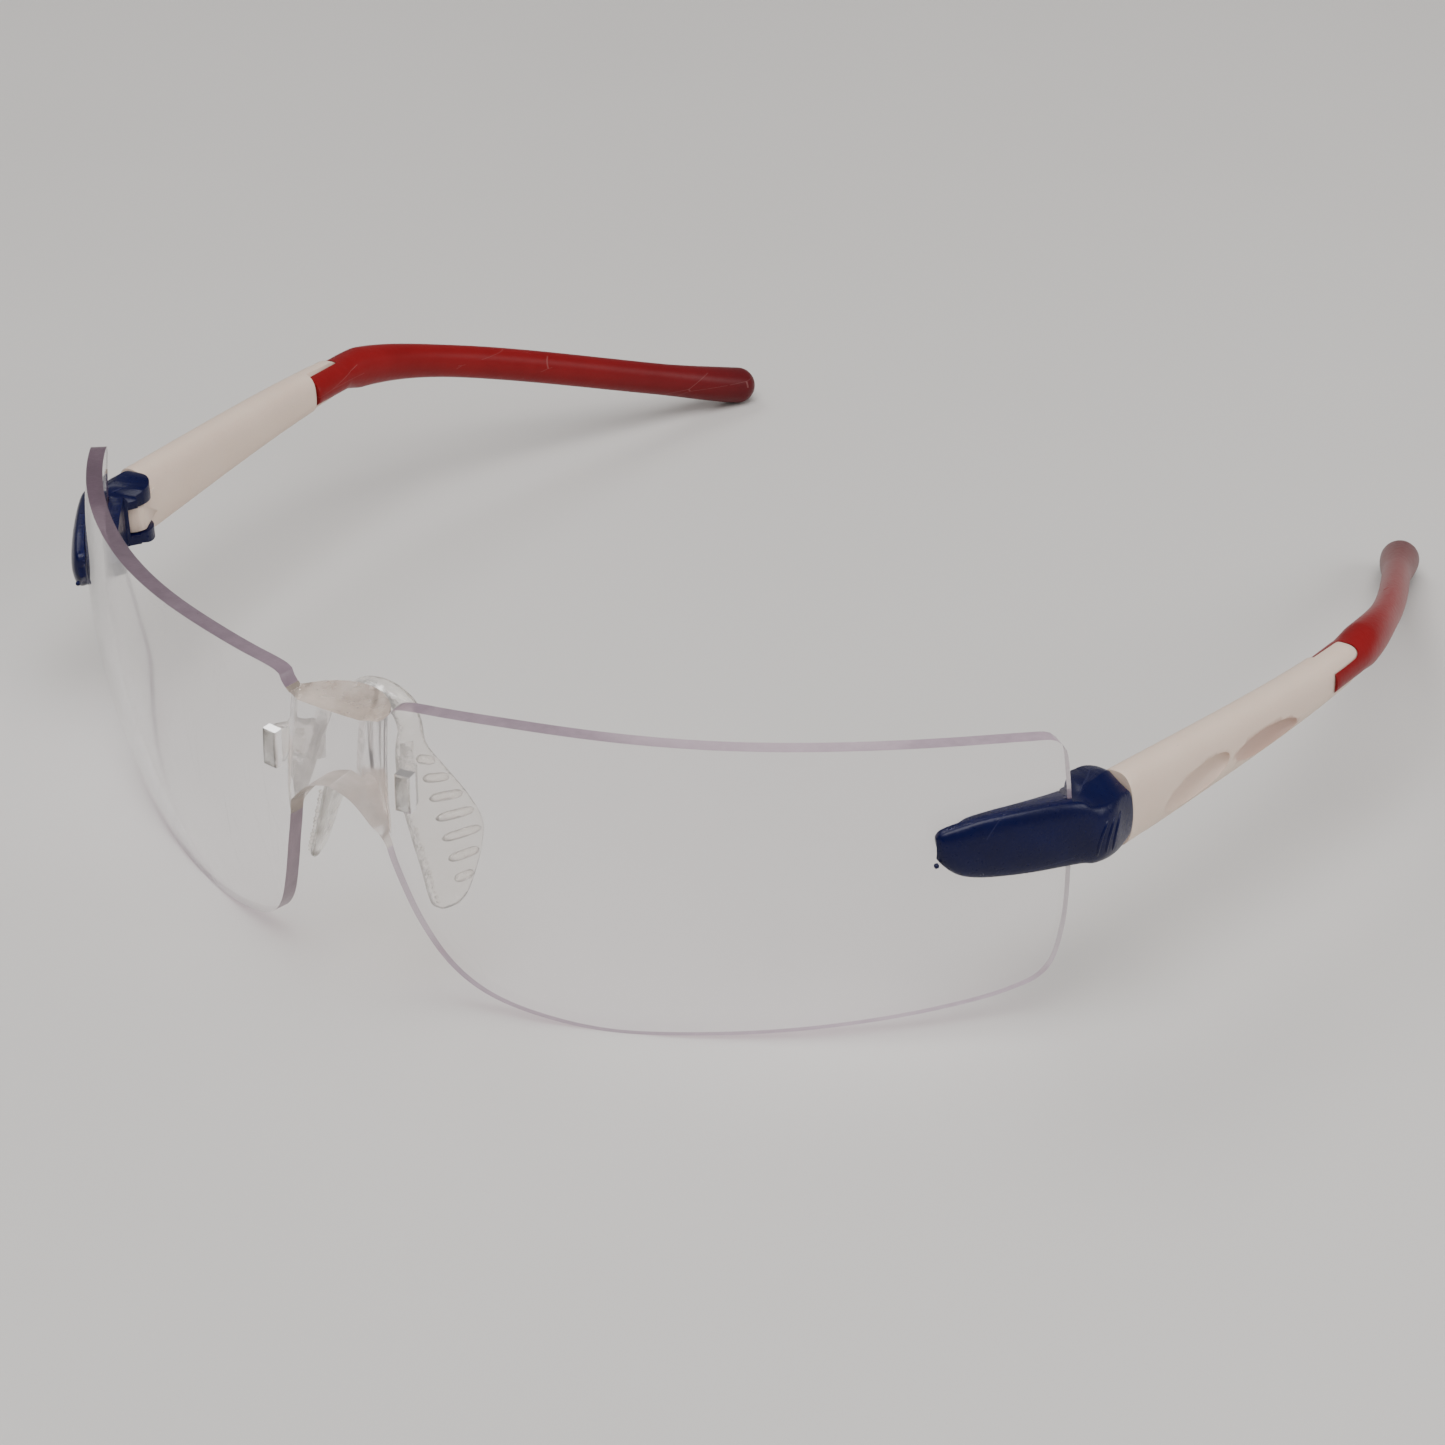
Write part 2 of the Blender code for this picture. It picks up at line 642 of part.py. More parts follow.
def make_clip():
    axis = hinge_axis()
    body = loft([clip_ring(*station) for station in clip_stations()])
    bmesh.ops.triangulate(body, faces=body.faces)
    clip = object_from_bmesh("clip_left", body, parts)
    room = prism(behind_hinge(axis), 0.0, LENS_HEIGHT)
    boolean(clip, "DIFFERENCE", make_cutter("behind_hinge", room))
    slot = box(
        (LENS_HALF_ARC - CLIP_REACH - 4 * MM, -GAP, CLIP_END_FOOT - 2 * MM),
        (LENS_HALF_ARC + GAP, LENS_THICKNESS + GAP, CLIP_END_TOP + 2 * MM),
    )
    slice_solid(slot, 0, 3 * MM, LENS_HALF_ARC)
    slice_solid(slot, 2, 3 * MM, CLIP_END_TOP + 2 * MM)
    bend(slot)
    boolean(clip, "DIFFERENCE", make_cutter("lens_slot", slot))
    fork = prism(fork_plan(axis), TONGUE_FOOT - GAP, TONGUE_TOP + GAP)
    boolean(clip, "DIFFERENCE", make_cutter("hinge_fork", fork))
    bore = cylinder(axis, PIN_DIAMETER + 2 * GAP, CLIP_END_FOOT - MM, PIN_TOP + GAP)
    boolean(clip, "DIFFERENCE", make_cutter("pin_bore", bore))
    seat = cylinder(axis, PIN_HEAD_DIAMETER + 2 * GAP, CLIP_END_FOOT - MM, CLIP_END_FOOT + PIN_HEAD_HEIGHT)
    boolean(clip, "DIFFERENCE", make_cutter("pin_seat", seat))
    boolean(clip, "UNION", make_cutter("clip_peg", make_peg(1, 0.0, GAP)))
    settle(clip)
    weld(clip)
    return finish(clip, blue_material)


def make_pin():
    """A turned pin with a flat head, pushed up into the clip from below."""
    axis = hinge_axis()
    low = CLIP_END_FOOT
    neck = low + PIN_HEAD_HEIGHT - GAP
    profile = bmesh.new()
    points = [
        (0.0, PIN_TOP),
        (PIN_DIAMETER / 2, PIN_TOP),
        (PIN_DIAMETER / 2, neck),
        (PIN_HEAD_DIAMETER / 2, neck),
        (PIN_HEAD_DIAMETER / 2, low),
        (0.0, low),
    ]
    verts = [profile.verts.new((radius, 0.0, height)) for radius, height in points]
    for first, second in zip(verts, verts[1:]):
        profile.edges.new((first, second))
    pin = object_from_bmesh("hinge_pin_left", profile, parts)
    screw = pin.modifiers.new("turn", "SCREW")
    screw.steps = 24
    screw.render_steps = 24
    screw.use_merge_vertices = True
    screw.merge_threshold = 0.00001
    settle(pin)
    weld(pin)
    pin.location = (axis.x, axis.y, 0.0)
    pin.data.materials.append(steel_material)
    pin.data.shade_smooth()
    pin.data.set_sharp_from_angle(angle=math.radians(35))
    pin.parent = frame_point
    return pin


# --- temples and tips ----------------------------------------------------------------------------------


def temple_section(share, grow=0.0):
    """The middle, half width and half height of the white temple, from its front (0) to its end (1)."""
    axis = hinge_axis()
    start = WALL_REACH + GAP
    back = start + share * (TEMPLE_LENGTH - start)
    outward = TEMPLE_OFFSET + TEMPLE_SPLAY * share - TEMPLE_BOW * share**4
    height = TEMPLE_FRONT_MIDDLE + share * (TEMPLE_BACK_MIDDLE - TEMPLE_FRONT_MIDDLE)
    width = TEMPLE_FRONT_WIDTH + share * (TEMPLE_BACK_WIDTH - TEMPLE_FRONT_WIDTH)
    tall = TEMPLE_FRONT_HEIGHT + share * (TEMPLE_BACK_HEIGHT - TEMPLE_FRONT_HEIGHT)
    middle = Vector((axis.x + outward, axis.y + back, height))
    return middle, width / 2 + grow, tall / 2 + grow


def oval_ring(middle, half_width, half_height, square=0.75):
    """A rounded oval across the temple, in the plane across Y."""
    ring = []
    for i in range(RING_SIDES):
        turn = 2 * math.pi * i / RING_SIDES
        across = math.copysign(abs(math.cos(turn)) ** square, math.cos(turn)) * half_width
        up = math.copysign(abs(math.sin(turn)) ** square, math.sin(turn)) * half_height
        ring.append(middle + Vector((across, 0.0, up)))
    return ring


def temple_solid(grow=0.0):
    """The white temple without its tongue: a tapering oval with a rounded back end."""
    rings = []
    length = TEMPLE_LENGTH - WALL_REACH - GAP
    nose = 2.6 * MM / length
    steps = 14
    for i in range(steps + 1):
        rings.append(oval_ring(*temple_section((1 - nose) * i / steps, grow)))
    for i in range(1, 6):
        turn = math.pi / 2 * i / 5.3
        share = 1 - nose + nose * math.sin(turn)
        middle, half_width, half_height = temple_section(share, grow)
        round_off = max(0.12, math.cos(turn))
        rings.append(oval_ring(middle, half_width * (0.5 + 0.5 * round_off), half_height * round_off))
    if grow:
        front, back = rings[0], rings[-1]
        rings[0] = [point - Vector((0, grow, 0)) for point in front]
        rings[-1] = [point + Vector((0, grow, 0)) for point in back]
    return loft(rings)


def lap_box(side_of_lap, shift):
    """The space inside (-1) or outside (+1) the lap joint between temple and tip, moved outwards."""
    end, half_width, _ = temple_section(1.0)
    begin, _, _ = temple_section(1.0 - LAP_LENGTH / TEMPLE_LENGTH)
    slope = (end.x - begin.x) / (end.y - begin.y)
    seam = begin.x - 0.25 * half_width + shift
    far = 15 * MM
    low = begin.y if side_of_lap < 0 else begin.y - 10 * MM
    high = end.y + 10 * MM
    near_low = seam + slope * (low - begin.y)
    near_high = seam + slope * (high - begin.y)
    plan = [
        Vector((near_low, low)),
        Vector((near_high, high)),
        Vector((near_high + side_of_lap * far, high)),
        Vector((near_low + side_of_lap * far, low)),
    ]
    return prism(plan, 0.0, CLIP_END_TOP)


def make_tongue():
    """The hinge tongue: a round knuckle that runs back into the temple."""
    axis = hinge_axis()
    middle, half_width, _ = temple_section(0.06)
    plan = []
    for i in range(13):
        turn = math.radians(180 + 180 * i / 12)
        plan.append(axis.to_2d() + Vector((math.cos(turn), math.sin(turn))) * KNUCKLE_RADIUS)
    plan.append(Vector((axis.x + KNUCKLE_RADIUS, axis.y + WALL_REACH)))
    plan.append(Vector((middle.x + 0.6 * half_width, middle.y)))
    plan.append(Vector((middle.x - 0.8 * half_width, middle.y)))
    return prism(plan, TONGUE_FOOT, TONGUE_TOP)


def make_scoop(index):
    """A shallow almond-shaped hollow in the lower half of the temple's outer face."""
    length = TEMPLE_LENGTH - WALL_REACH - GAP
    place = SCOOP_START + SCOOP_LENGTH * (index + 0.5) - WALL_REACH
    middle, half_width, half_height = temple_section(place / length)
    scoop = bmesh.new()
    bmesh.ops.create_uvsphere(scoop, u_segments=20, v_segments=12, radius=1.0)
    height = SCOOP_HEIGHT * (1.0 - 0.2 * index)
    size = (2 * SCOOP_DEPTH, 0.54 * SCOOP_LENGTH, height / 2)
    bmesh.ops.scale(scoop, vec=size, verts=scoop.verts)
    lean = Matrix.Rotation(math.radians(9 if index == 0 else -4), 3, "X")
    bmesh.ops.rotate(scoop, cent=(0, 0, 0), matrix=lean, verts=scoop.verts)
    centre = middle + Vector((half_width + 0.85 * SCOOP_DEPTH, 0.0, -0.38 * half_height))
    bmesh.ops.translate(scoop, vec=centre, verts=scoop.verts)
    return scoop


def make_temple():
    axis = hinge_axis()
    temple = object_from_bmesh("temple_left", temple_solid(), parts)
    boolean(temple, "DIFFERENCE", make_cutter("tip_lap", lap_box(-1, 0.0)))
    for index in range(2):
        boolean(temple, "DIFFERENCE", make_cutter(f"scoop_{index}", make_scoop(index)))
    lobe_room = 2 * (LOBE_RADIUS + GAP)
    over = cylinder(axis, lobe_room, TONGUE_TOP, CLIP_END_TOP + MM, sides=32)
    under = cylinder(axis, lobe_room, CLIP_END_FOOT - MM, TONGUE_FOOT, sides=32)
    boolean(temple, "DIFFERENCE", make_cutter("lobe_room_over", over))
    boolean(temple, "DIFFERENCE", make_cutter("lobe_room_under", under))
    boolean(temple, "UNION", make_cutter("hinge_tongue", make_tongue()))
    bore = cylinder(axis, PIN_DIAMETER + 2 * GAP, TONGUE_FOOT - MM, TONGUE_TOP + MM)
    boolean(temple, "DIFFERENCE", make_cutter("tongue_bore", bore))
    settle(temple)
    weld(temple)
    return finish(temple, white_material, origin=axis)


def tip_path():
    """The tip's middle line: on from the temple, then in and down to the bulb on the table."""
    end = temple_section(1.0)[0]
    begin = temple_section(1.0 - LAP_LENGTH / TEMPLE_LENGTH)[0]
    bulb = Vector((end.x - TIP_TUCK, end.y + TIP_RUN, TIP_BULB_DIAMETER / 2))
    first = Vector((-TIP_START_LEAN, 1.0, -0.06)).normalized()
    last = Vector((-TIP_END_LEAN, 1.0, -TIP_END_DIP)).normalized()
    controls = (end, end + first * 0.25 * TIP_RUN, bulb - last * 0.38 * TIP_RUN, bulb)
    return begin, controls


def make_tip():
    begin, controls = tip_path()
    axis = hinge_axis()
    rings = []
    lap = (TIP_FRONT_WIDTH / 2, TEMPLE_BACK_HEIGHT / 2 - GAP)
    front = (TIP_FRONT_WIDTH / 2, TIP_FRONT_HEIGHT / 2)
    stalk = (TIP_STALK_WIDTH / 2, TIP_STALK_HEIGHT / 2)
    bulb = TIP_BULB_DIAMETER / 2
    for i in range(4):
        rings.append(oval_ring(begin.lerp(controls[0], i / 4) + Vector((0, GAP, 0)), *lap, square=0.9))
    steps = 22
    for i in range(steps + 1):
        t = i / steps
        point = bezier_point(controls, t)
        ahead = bezier_point(controls, min(1.0, t + 0.01)) - bezier_point(controls, max(0.0, t - 0.01))
        frame = ahead.to_track_quat("Y", "Z").to_matrix()
        slim = min(1.0, t / 0.35)
        slim = slim * slim * (3 - 2 * slim)
        swell = max(0.0, (t - 0.80) / 0.20)
        swell = swell * swell * (3 - 2 * swell)
        width = front[0] + (stalk[0] - front[0]) * slim + (bulb - stalk[0]) * swell
        height = front[1] + (stalk[1] - front[1]) * slim + (bulb - stalk[1]) * swell
        height -= (front[1] - lap[1]) * max(0.0, 1 - t / 0.07)
        ring = oval_ring(Vector((0, 0, 0)), width, height, square=1.0)
        rings.append([point + frame @ offset for offset in ring])
    for i in range(1, 5):
        turn = math.pi / 2 * i / 4.3
        point = controls[3] + frame @ Vector((0, bulb * math.sin(turn), 0))
        ring = oval_ring(Vector((0, 0, 0)), bulb * math.cos(turn), bulb * math.cos(turn), square=1.0)
        rings.append([point + frame @ offset for offset in ring])
    tip = object_from_bmesh("temple_tip_left", loft(rings), parts)
    room = object_from_bmesh("temple_room", temple_solid(grow=GAP), cutters)
    boolean(room, "INTERSECT", make_cutter("outer_half", lap_box(1, -GAP)))
    settle(room)
    room.hide_render = True
    room.display_type = "WIRE"
    boolean(tip, "DIFFERENCE", room)
    settle(tip)
    weld(tip)
    return finish(tip, red_material, origin=axis)


# --- the whole object ------------------------------------------------------------------------------------

clear_scene()
parts = new_collection("safety_glasses")
cutters = new_collection("cutters")

clear_material = make_material("clear_polycarbonate", (0.86, 0.85, 0.86), 0.05)
soft_clear_material = make_material("soft_clear", (0.80, 0.78, 0.75), 0.2)
blue_material = make_material("blue_plastic", (0.01, 0.02, 0.12), 0.25)
white_material = make_material("white_plastic", (0.80, 0.76, 0.72), 0.4)
red_material = make_material("red_soft_plastic", (0.35, 0.01, 0.015), 0.3)
steel_material = make_material("steel", (0.5, 0.48, 0.45), 0.35, 1.0)

_, tip_controls = tip_path()
rear = tip_controls[3].y + TIP_BULB_DIAMETER / 2
foremost = -BRIDGE_CROWN
frame_point = bpy.data.objects.new("glasses_frame", None)
frame_point.location = (0.0, -(rear + foremost) / 2, 0.0)
parts.objects.link(frame_point)

make_lens()
make_nosepiece()
mirror_copy(make_clip(), "clip_right")
mirror_copy(make_pin(), "hinge_pin_right")
mirror_copy(make_temple(), "temple_right")
mirror_copy(make_tip(), "temple_tip_right")
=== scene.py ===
import functools
import json
import math

import bmesh
import bpy
from mathutils import Matrix, Quaternion, Vector


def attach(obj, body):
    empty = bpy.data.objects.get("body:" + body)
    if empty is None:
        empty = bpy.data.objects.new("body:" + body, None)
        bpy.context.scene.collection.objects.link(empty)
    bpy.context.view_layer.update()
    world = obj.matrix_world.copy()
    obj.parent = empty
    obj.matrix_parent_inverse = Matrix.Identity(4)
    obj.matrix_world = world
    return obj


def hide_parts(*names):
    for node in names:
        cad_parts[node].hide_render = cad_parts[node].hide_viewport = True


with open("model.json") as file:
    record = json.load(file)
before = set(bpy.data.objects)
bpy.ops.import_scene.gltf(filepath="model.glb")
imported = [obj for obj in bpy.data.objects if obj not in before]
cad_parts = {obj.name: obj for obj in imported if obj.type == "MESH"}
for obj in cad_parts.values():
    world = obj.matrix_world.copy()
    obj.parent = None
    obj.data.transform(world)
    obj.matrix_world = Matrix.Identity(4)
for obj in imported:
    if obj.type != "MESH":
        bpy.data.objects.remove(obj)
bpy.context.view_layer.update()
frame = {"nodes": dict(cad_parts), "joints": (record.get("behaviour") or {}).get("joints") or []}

# The visible safety glasses: a clear wraparound lens with its bridge, a clear nosepiece, two blue clips,
# two white temples and their red tips. Metres, +Z up; the wearer looks along -Y and +X is their left.

MM = 0.001

# Lens
LENS_THICKNESS = 2.0 * MM
LENS_HALF_ARC = 84.5 * MM  # from the middle to the side edge, along the front surface
LENS_HEIGHT = 39.1 * MM
NOSE_RADIUS = 82.0 * MM  # plan radius at the middle
SIDE_RADIUS = 95.7 * MM  # plan radius at the side edge
CROWN_RADIUS = 72.5 * MM  # radius of the vertical curve
CROWN_HEIGHT = 24.1 * MM  # height of the foremost line
LENS_CELL = 1.5 * MM  # spacing of the edges that let the flat blank bend
FIT_GAP = 0.3 * MM  # clearance between neighbouring pieces

# Bridge, moulded in one piece with the lens
BRIDGE_HALF_WIDTH = 6.6 * MM
BRIDGE_DROP = 2.3 * MM
BRIDGE_DEPTH = 6.2 * MM
BRIDGE_CROWN = 0.7 * MM
BRIDGE_CREASE = (4.4 * MM, 5.8 * MM)  # where its flat face ends, at the top and lower down
BRIDGE_WALL_FOOT = (6.2 * MM, 6.9 * MM)  # where the sloped wall beside it meets the lens
BRIDGE_FACE_FALL = 11.0 * MM  # the height over which the face widens
BRIDGE_RIM = 7.0 * MM  # the cut edges this near the middle are cloudy
ARCH_TOP = 27.7 * MM
ARCH_FOOT = 23.7 * MM

# Nosepiece
LUG_ARC = 9.6 * MM
LUG_HEIGHT = 29.0 * MM
LUG_WIDTH = 1.6 * MM
LUG_LENGTH = 4.0 * MM
LUG_END = 7.4 * MM
LUG_GAP = 0.2 * MM
SADDLE_BACK = 9.1 * MM
SADDLE_DEPTH = 2.6 * MM
SADDLE_RADIUS = 4.6 * MM
SADDLE_TOP = 36.5 * MM
SADDLE_WALL = 1.5 * MM
PAD_WALL = 1.4 * MM
PAD_FOOT = 12.0 * MM
PAD_SLOPE = 0.30
PAD_FLARE = 0.35
RIB_COUNT = 7
RIB_START = 0.20
RIB_END = 0.86
RIB_RISE = 1.0 * MM
RIB_RADIUS = 0.55 * MM
RIB_FRONT = 8.3 * MM
TOOTH_COUNT = 16
TOOTH_SIZE = 0.28 * MM
NOSE_ROUND = 0.18 * MM

# Clips
LEAF = 1.6 * MM
LEAF_EDGE = 0.5 * MM
CLIP_REACH = 15.5 * MM
CLIP_TOP = 28.4 * MM
CLIP_FOOT = 21.3 * MM
CLIP_END_TOP = 28.9 * MM
CLIP_END_FOOT = 20.7 * MM
CLIP_END_FALL = 1.0 * MM
LEAF_FLARE = 2.0
INNER_LEAF_DROP = 2.3 * MM
INNER_LEAF_LEAD = 2.4 * MM  # the inner leaf starts this much further out than the outer one
CLIP_ROUND = 0.30 * MM
GRIP_COUNT = 3
GRIP_RADIUS = 0.25 * MM

# Hinge
HINGE_IN = 1.3 * MM
HINGE_BACK = 5.3 * MM
KNUCKLE_RADIUS = 2.4 * MM
LOBE_RADIUS = 2.7 * MM
WALL_REACH = 2.4 * MM
TONGUE_FOOT = 22.6 * MM
TONGUE_TOP = 26.0 * MM
TONGUE_GAP = 0.25 * MM
PIN_BORE = 2.0 * MM
PIN_SEAT = 3.1 * MM
PIN_HEAD_HEIGHT = 0.6 * MM
PIN_TOP = 27.2 * MM

# Temples
TEMPLE_LENGTH = 49.0 * MM
TEMPLE_START = WALL_REACH + FIT_GAP
TEMPLE_SPLAY = 6.2 * MM
TEMPLE_BOW = 1.5 * MM
TEMPLE_FRONT = (4.7 * MM, 9.4 * MM, 24.1 * MM)  # width, height and middle height
TEMPLE_BACK = (4.2 * MM, 5.0 * MM, 23.0 * MM)
TEMPLE_OFFSET = 2.0 * MM
SCOOP_DEPTH = 1.0 * MM
SCOOP_LENGTH = 13.5 * MM
SCOOP_HEIGHT = 4.6 * MM
SCOOP_START = 6.2 * MM
LAP_LENGTH = 8.0 * MM
TEMPLE_ROUND = 0.22 * MM

# Tips
TIP_RUN = 61.3 * MM
TIP_TUCK = 23.1 * MM
TIP_START_LEAN = 0.04
TIP_END_LEAN = 0.42
TIP_END_DIP = 0.34
TIP_FRONT = (5.2 * MM, 5.8 * MM)  # width and height
TIP_STALK = (3.7 * MM, 4.6 * MM)
TIP_BULB = 5.2 * MM
TIP_ROUND = 0.2 * MM
LAP_GAP = 0.12 * MM

# The camera, seen from the wearer's left, in front and above
VIEW_AZIMUTH = 36.211
VIEW_ELEVATION = 29.43
VIEW_ROLL = -2.161
VIEW_DISTANCE = 453.482 * MM
VIEW_TARGET = (24.915 * MM, 39.256 * MM, 24.05 * MM)  # before the shift that centres the footprint
VIEW_LENS = 98.769


# --- places on the lens ---


def plan_angle(arc):
    """How far the lens has turned from straight across, at an arc length from the middle."""
    change = (1 / SIDE_RADIUS - 1 / NOSE_RADIUS) / (2 * LENS_HALF_ARC)
    return arc / NOSE_RADIUS + change * arc * abs(arc)


@functools.lru_cache(maxsize=None)
def plan_point(arc, steps=48):
    """The front line of the lens in plan."""
    step = arc / steps
    x = sum(math.cos(plan_angle((i + 0.5) * step)) for i in range(steps)) * step
    y = sum(math.sin(plan_angle((i + 0.5) * step)) for i in range(steps)) * step
    return x, y


def shift_back():
    """How far the footprint's centre lies behind the middle of the lens: the joint says where it is."""
    joint = next(joint for joint in frame["joints"] if joint["child"] == "left_temple")
    return plan_point(LENS_HALF_ARC)[1] + HINGE_BACK - joint["pos_m"][1]


SHIFT = Vector((0.0, -shift_back(), 0.0))


def lens_point(arc, depth, height):
    """A point of the lens: along it, into it from the front surface, and up."""
    x, y = plan_point(arc)
    angle = plan_angle(arc)
    into = depth + (height - CROWN_HEIGHT) ** 2 / (2 * CROWN_RADIUS)
    return Vector((x - math.sin(angle) * into, y + math.cos(angle) * into, height)) + SHIFT


def hinge_axis():
    x, y = plan_point(LENS_HALF_ARC)
    return Vector((x - HINGE_IN, y + HINGE_BACK, 0.0)) + SHIFT


AXIS = hinge_axis()


# --- tools for shapes ---


def link(name, data):
    """An object in the scene, made from a mesh, a lamp or a camera."""
    obj = bpy.data.objects.new(name, data)
    bpy.context.scene.collection.objects.link(obj)
    return obj


def new_object(name, solid):
    mesh = bpy.data.meshes.new(name)
    solid.to_mesh(mesh)
    solid.free()
    return link(name, mesh)


def prism(outline, low, high):
    """A closed prism over a flat outline of (u, v) points, from low to high along w."""
    solid = bmesh.new()
    face = solid.faces.new([solid.verts.new((u, v, low)) for u, v in outline])
    raised = bmesh.ops.extrude_face_region(solid, geom=[face])
    top = [item for item in raised["geom"] if isinstance(item, bmesh.types.BMVert)]
    bmesh.ops.translate(solid, vec=(0.0, 0.0, high - low), verts=top)
    bmesh.ops.recalc_face_normals(solid, faces=solid.faces)
    return solid


def box(low, high):
    outline = [(low[0], low[1]), (high[0], low[1]), (high[0], high[1]), (low[0], high[1])]
    return prism(outline, low[2], high[2])


def hinge_arc(radius, start, sweep, steps):
    """Points in plan round the hinge axis, over a sweep in degrees."""
    turns = [math.radians(start + sweep * i / steps) for i in range(steps + 1)]
    return [(AXIS.x + radius * math.cos(turn), AXIS.y + radius * math.sin(turn)) for turn in turns]


def hinge_cylinder(diameter, low, high, sides=48):
    return prism(hinge_arc(diameter / 2, 0, 360, sides)[:-1], low, high)


def loft(rings):
    """A closed solid through rings of points, capped at both ends."""
    solid = bmesh.new()
    loops = [[solid.verts.new(point) for point in ring] for ring in rings]
    for first, second in zip(loops, loops[1:]):
        for i in range(len(first)):
            j = (i + 1) % len(first)
            solid.faces.new((first[i], first[j], second[j], second[i]))
    solid.faces.new(reversed(loops[0]))
    solid.faces.new(loops[-1])
    bmesh.ops.recalc_face_normals(solid, faces=solid.faces)
    return solid


def slice_solid(solid, axis, spacing, low, high):
    """Adds edges across a solid at regular stations."""
    normal = Vector((0, 0, 0))
    normal[axis] = 1.0
    for i in range(int((high - low) / spacing) + 1):
        geometry = list(solid.verts) + list(solid.edges) + list(solid.faces)
        place = normal * (low + i * spacing)
        bmesh.ops.bisect_plane(solid, geom=geometry, dist=1e-7, plane_co=place, plane_no=normal)


def ease(share):
    """A soft start and end between 0 and 1."""
    share = min(1.0, max(0.0, share))
    return share * share * (3 - 2 * share)


def between(stations, place):
    """A Catmull-Rom reading between stations of numbers or vectors, place counting stations."""
    last = len(stations) - 1
    i = min(int(place), last - 1)
    t = place - i
    picked = [stations[min(max(k, 0), last)] for k in range(i - 1, i + 3)]
    weights = (
        (-t + 2 * t**2 - t**3) / 2,
        (2 - 5 * t**2 + 3 * t**3) / 2,
        (t + 4 * t**2 - 3 * t**3) / 2,
        (-(t**2) + t**3) / 2,
    )
    return tuple(sum(w * row[k] for w, row in zip(weights, picked)) for k in range(len(picked[0])))


def spread(stations, count):
    """Count readings, spread evenly over the stations."""
    last = len(stations) - 1
    return [between(stations, last * i / (count - 1)) for i in range(count)]


def evenly(points, spacing):
    """Points along a line at an even spacing, its two ends kept."""
    lengths = [0.0]
    for a, b in zip(points, points[1:]):
        lengths.append(lengths[-1] + (b - a).length)
    count = max(2, round(lengths[-1] / spacing))
    result = []
    k = 0
    for i in range(count + 1):
        goal = lengths[-1] * i / count
        while k < len(points) - 2 and lengths[k + 1] < goal:
            k += 1
        share = (goal - lengths[k]) / (lengths[k + 1] - lengths[k])
        result.append(points[k].lerp(points[k + 1], share))
    return result


def combine(obj, operation, cutter):
    """Joins a cutter to an object or takes it away, and removes the cutter."""
    modifier = obj.modifiers.new("combine", "BOOLEAN")
    modifier.operation = operation
    modifier.object = cutter
    modifier.solver = "EXACT"
    settle(obj)
    bpy.data.objects.remove(cutter, do_unlink=True)


def cut(obj, solid):
    """Takes a solid away from an object."""
    combine(obj, "DIFFERENCE", new_object("cut", solid))


def settle(obj):
    """Replaces an object's mesh with the result of its modifiers."""
    graph = bpy.context.evaluated_depsgraph_get()
    done = obj.evaluated_get(graph)
    mesh = bpy.data.meshes.new_from_object(done, preserve_all_data_layers=True, depsgraph=graph)
    obj.modifiers.clear()
    obj.data = mesh


def round_edges(obj, width, segments, angle):
    """Rounds every edge sharper than the angle and keeps the faces beside it flat."""
    modifier = obj.modifiers.new("round", "BEVEL")
    modifier.width = width
    modifier.segments = segments
    modifier.limit_method = "ANGLE"
    modifier.angle_limit = math.radians(angle)
    modifier.harden_normals = True
    modifier.use_clamp_overlap = True
    settle(obj)


def smooth(obj, angle=50.0):
    obj.data.shade_smooth()
    obj.data.set_sharp_from_angle(angle=math.radians(angle))


def tidy(obj, distance=2e-6):
    solid = bmesh.new()
    solid.from_mesh(obj.data)
    bmesh.ops.remove_doubles(solid, verts=solid.verts, dist=distance)
    bmesh.ops.dissolve_degenerate(solid, edges=solid.edges, dist=distance)
    solid.to_mesh(obj.data)
    solid.free()


def dress(obj, material, width, segments=3, angle=40.0):
    """Finishes a solid: its edges rounded, its shading smooth, in one material."""
    tidy(obj)
    round_edges(obj, width, segments, angle)
    smooth(obj)
    obj.data.materials.clear()
    obj.data.materials.append(material)


def hand_over(pieces, body):
    """Ties pieces to the body that they ride on."""
    for piece in pieces:
        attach(piece, body)


def fuller(value, power):
    """A cosine or sine drawn towards 1, which squares the oval made from it."""
    return math.copysign(abs(value) ** power, value)


def oval_ring(middle, half_width, half_height, square=0.75, sides=48):
    """A rounded oval across the temple, in the plane across Y."""
    ring = []
    for i in range(sides):
        turn = 2 * math.pi * i / sides
        across = fuller(math.cos(turn), square) * half_width
        up = fuller(math.sin(turn), square) * half_height
        ring.append(middle + Vector((across, 0.0, up)))
    return ring


def mirror_copy(obj):
    """The same piece on the wearer's right."""
    mesh = obj.data.copy()
    mesh.transform(Matrix.Scale(-1.0, 4, (1.0, 0.0, 0.0)))
    mesh.flip_normals()
    return link(obj.name.replace("_left", "_right"), mesh)


def lines_object(name, lines):
    """An object of open lines, for a bead or a row of teeth to follow."""
    mesh = bpy.data.meshes.new(name)
    points = [point for line in lines for point in line]
    edges = []
    start = 0
    for line in lines:
        edges += [(start + i, start + i + 1) for i in range(len(line) - 1)]
        start += len(line)
    mesh.from_pydata(points, edges, [])
    return link(name, mesh)


# --- nodes ---


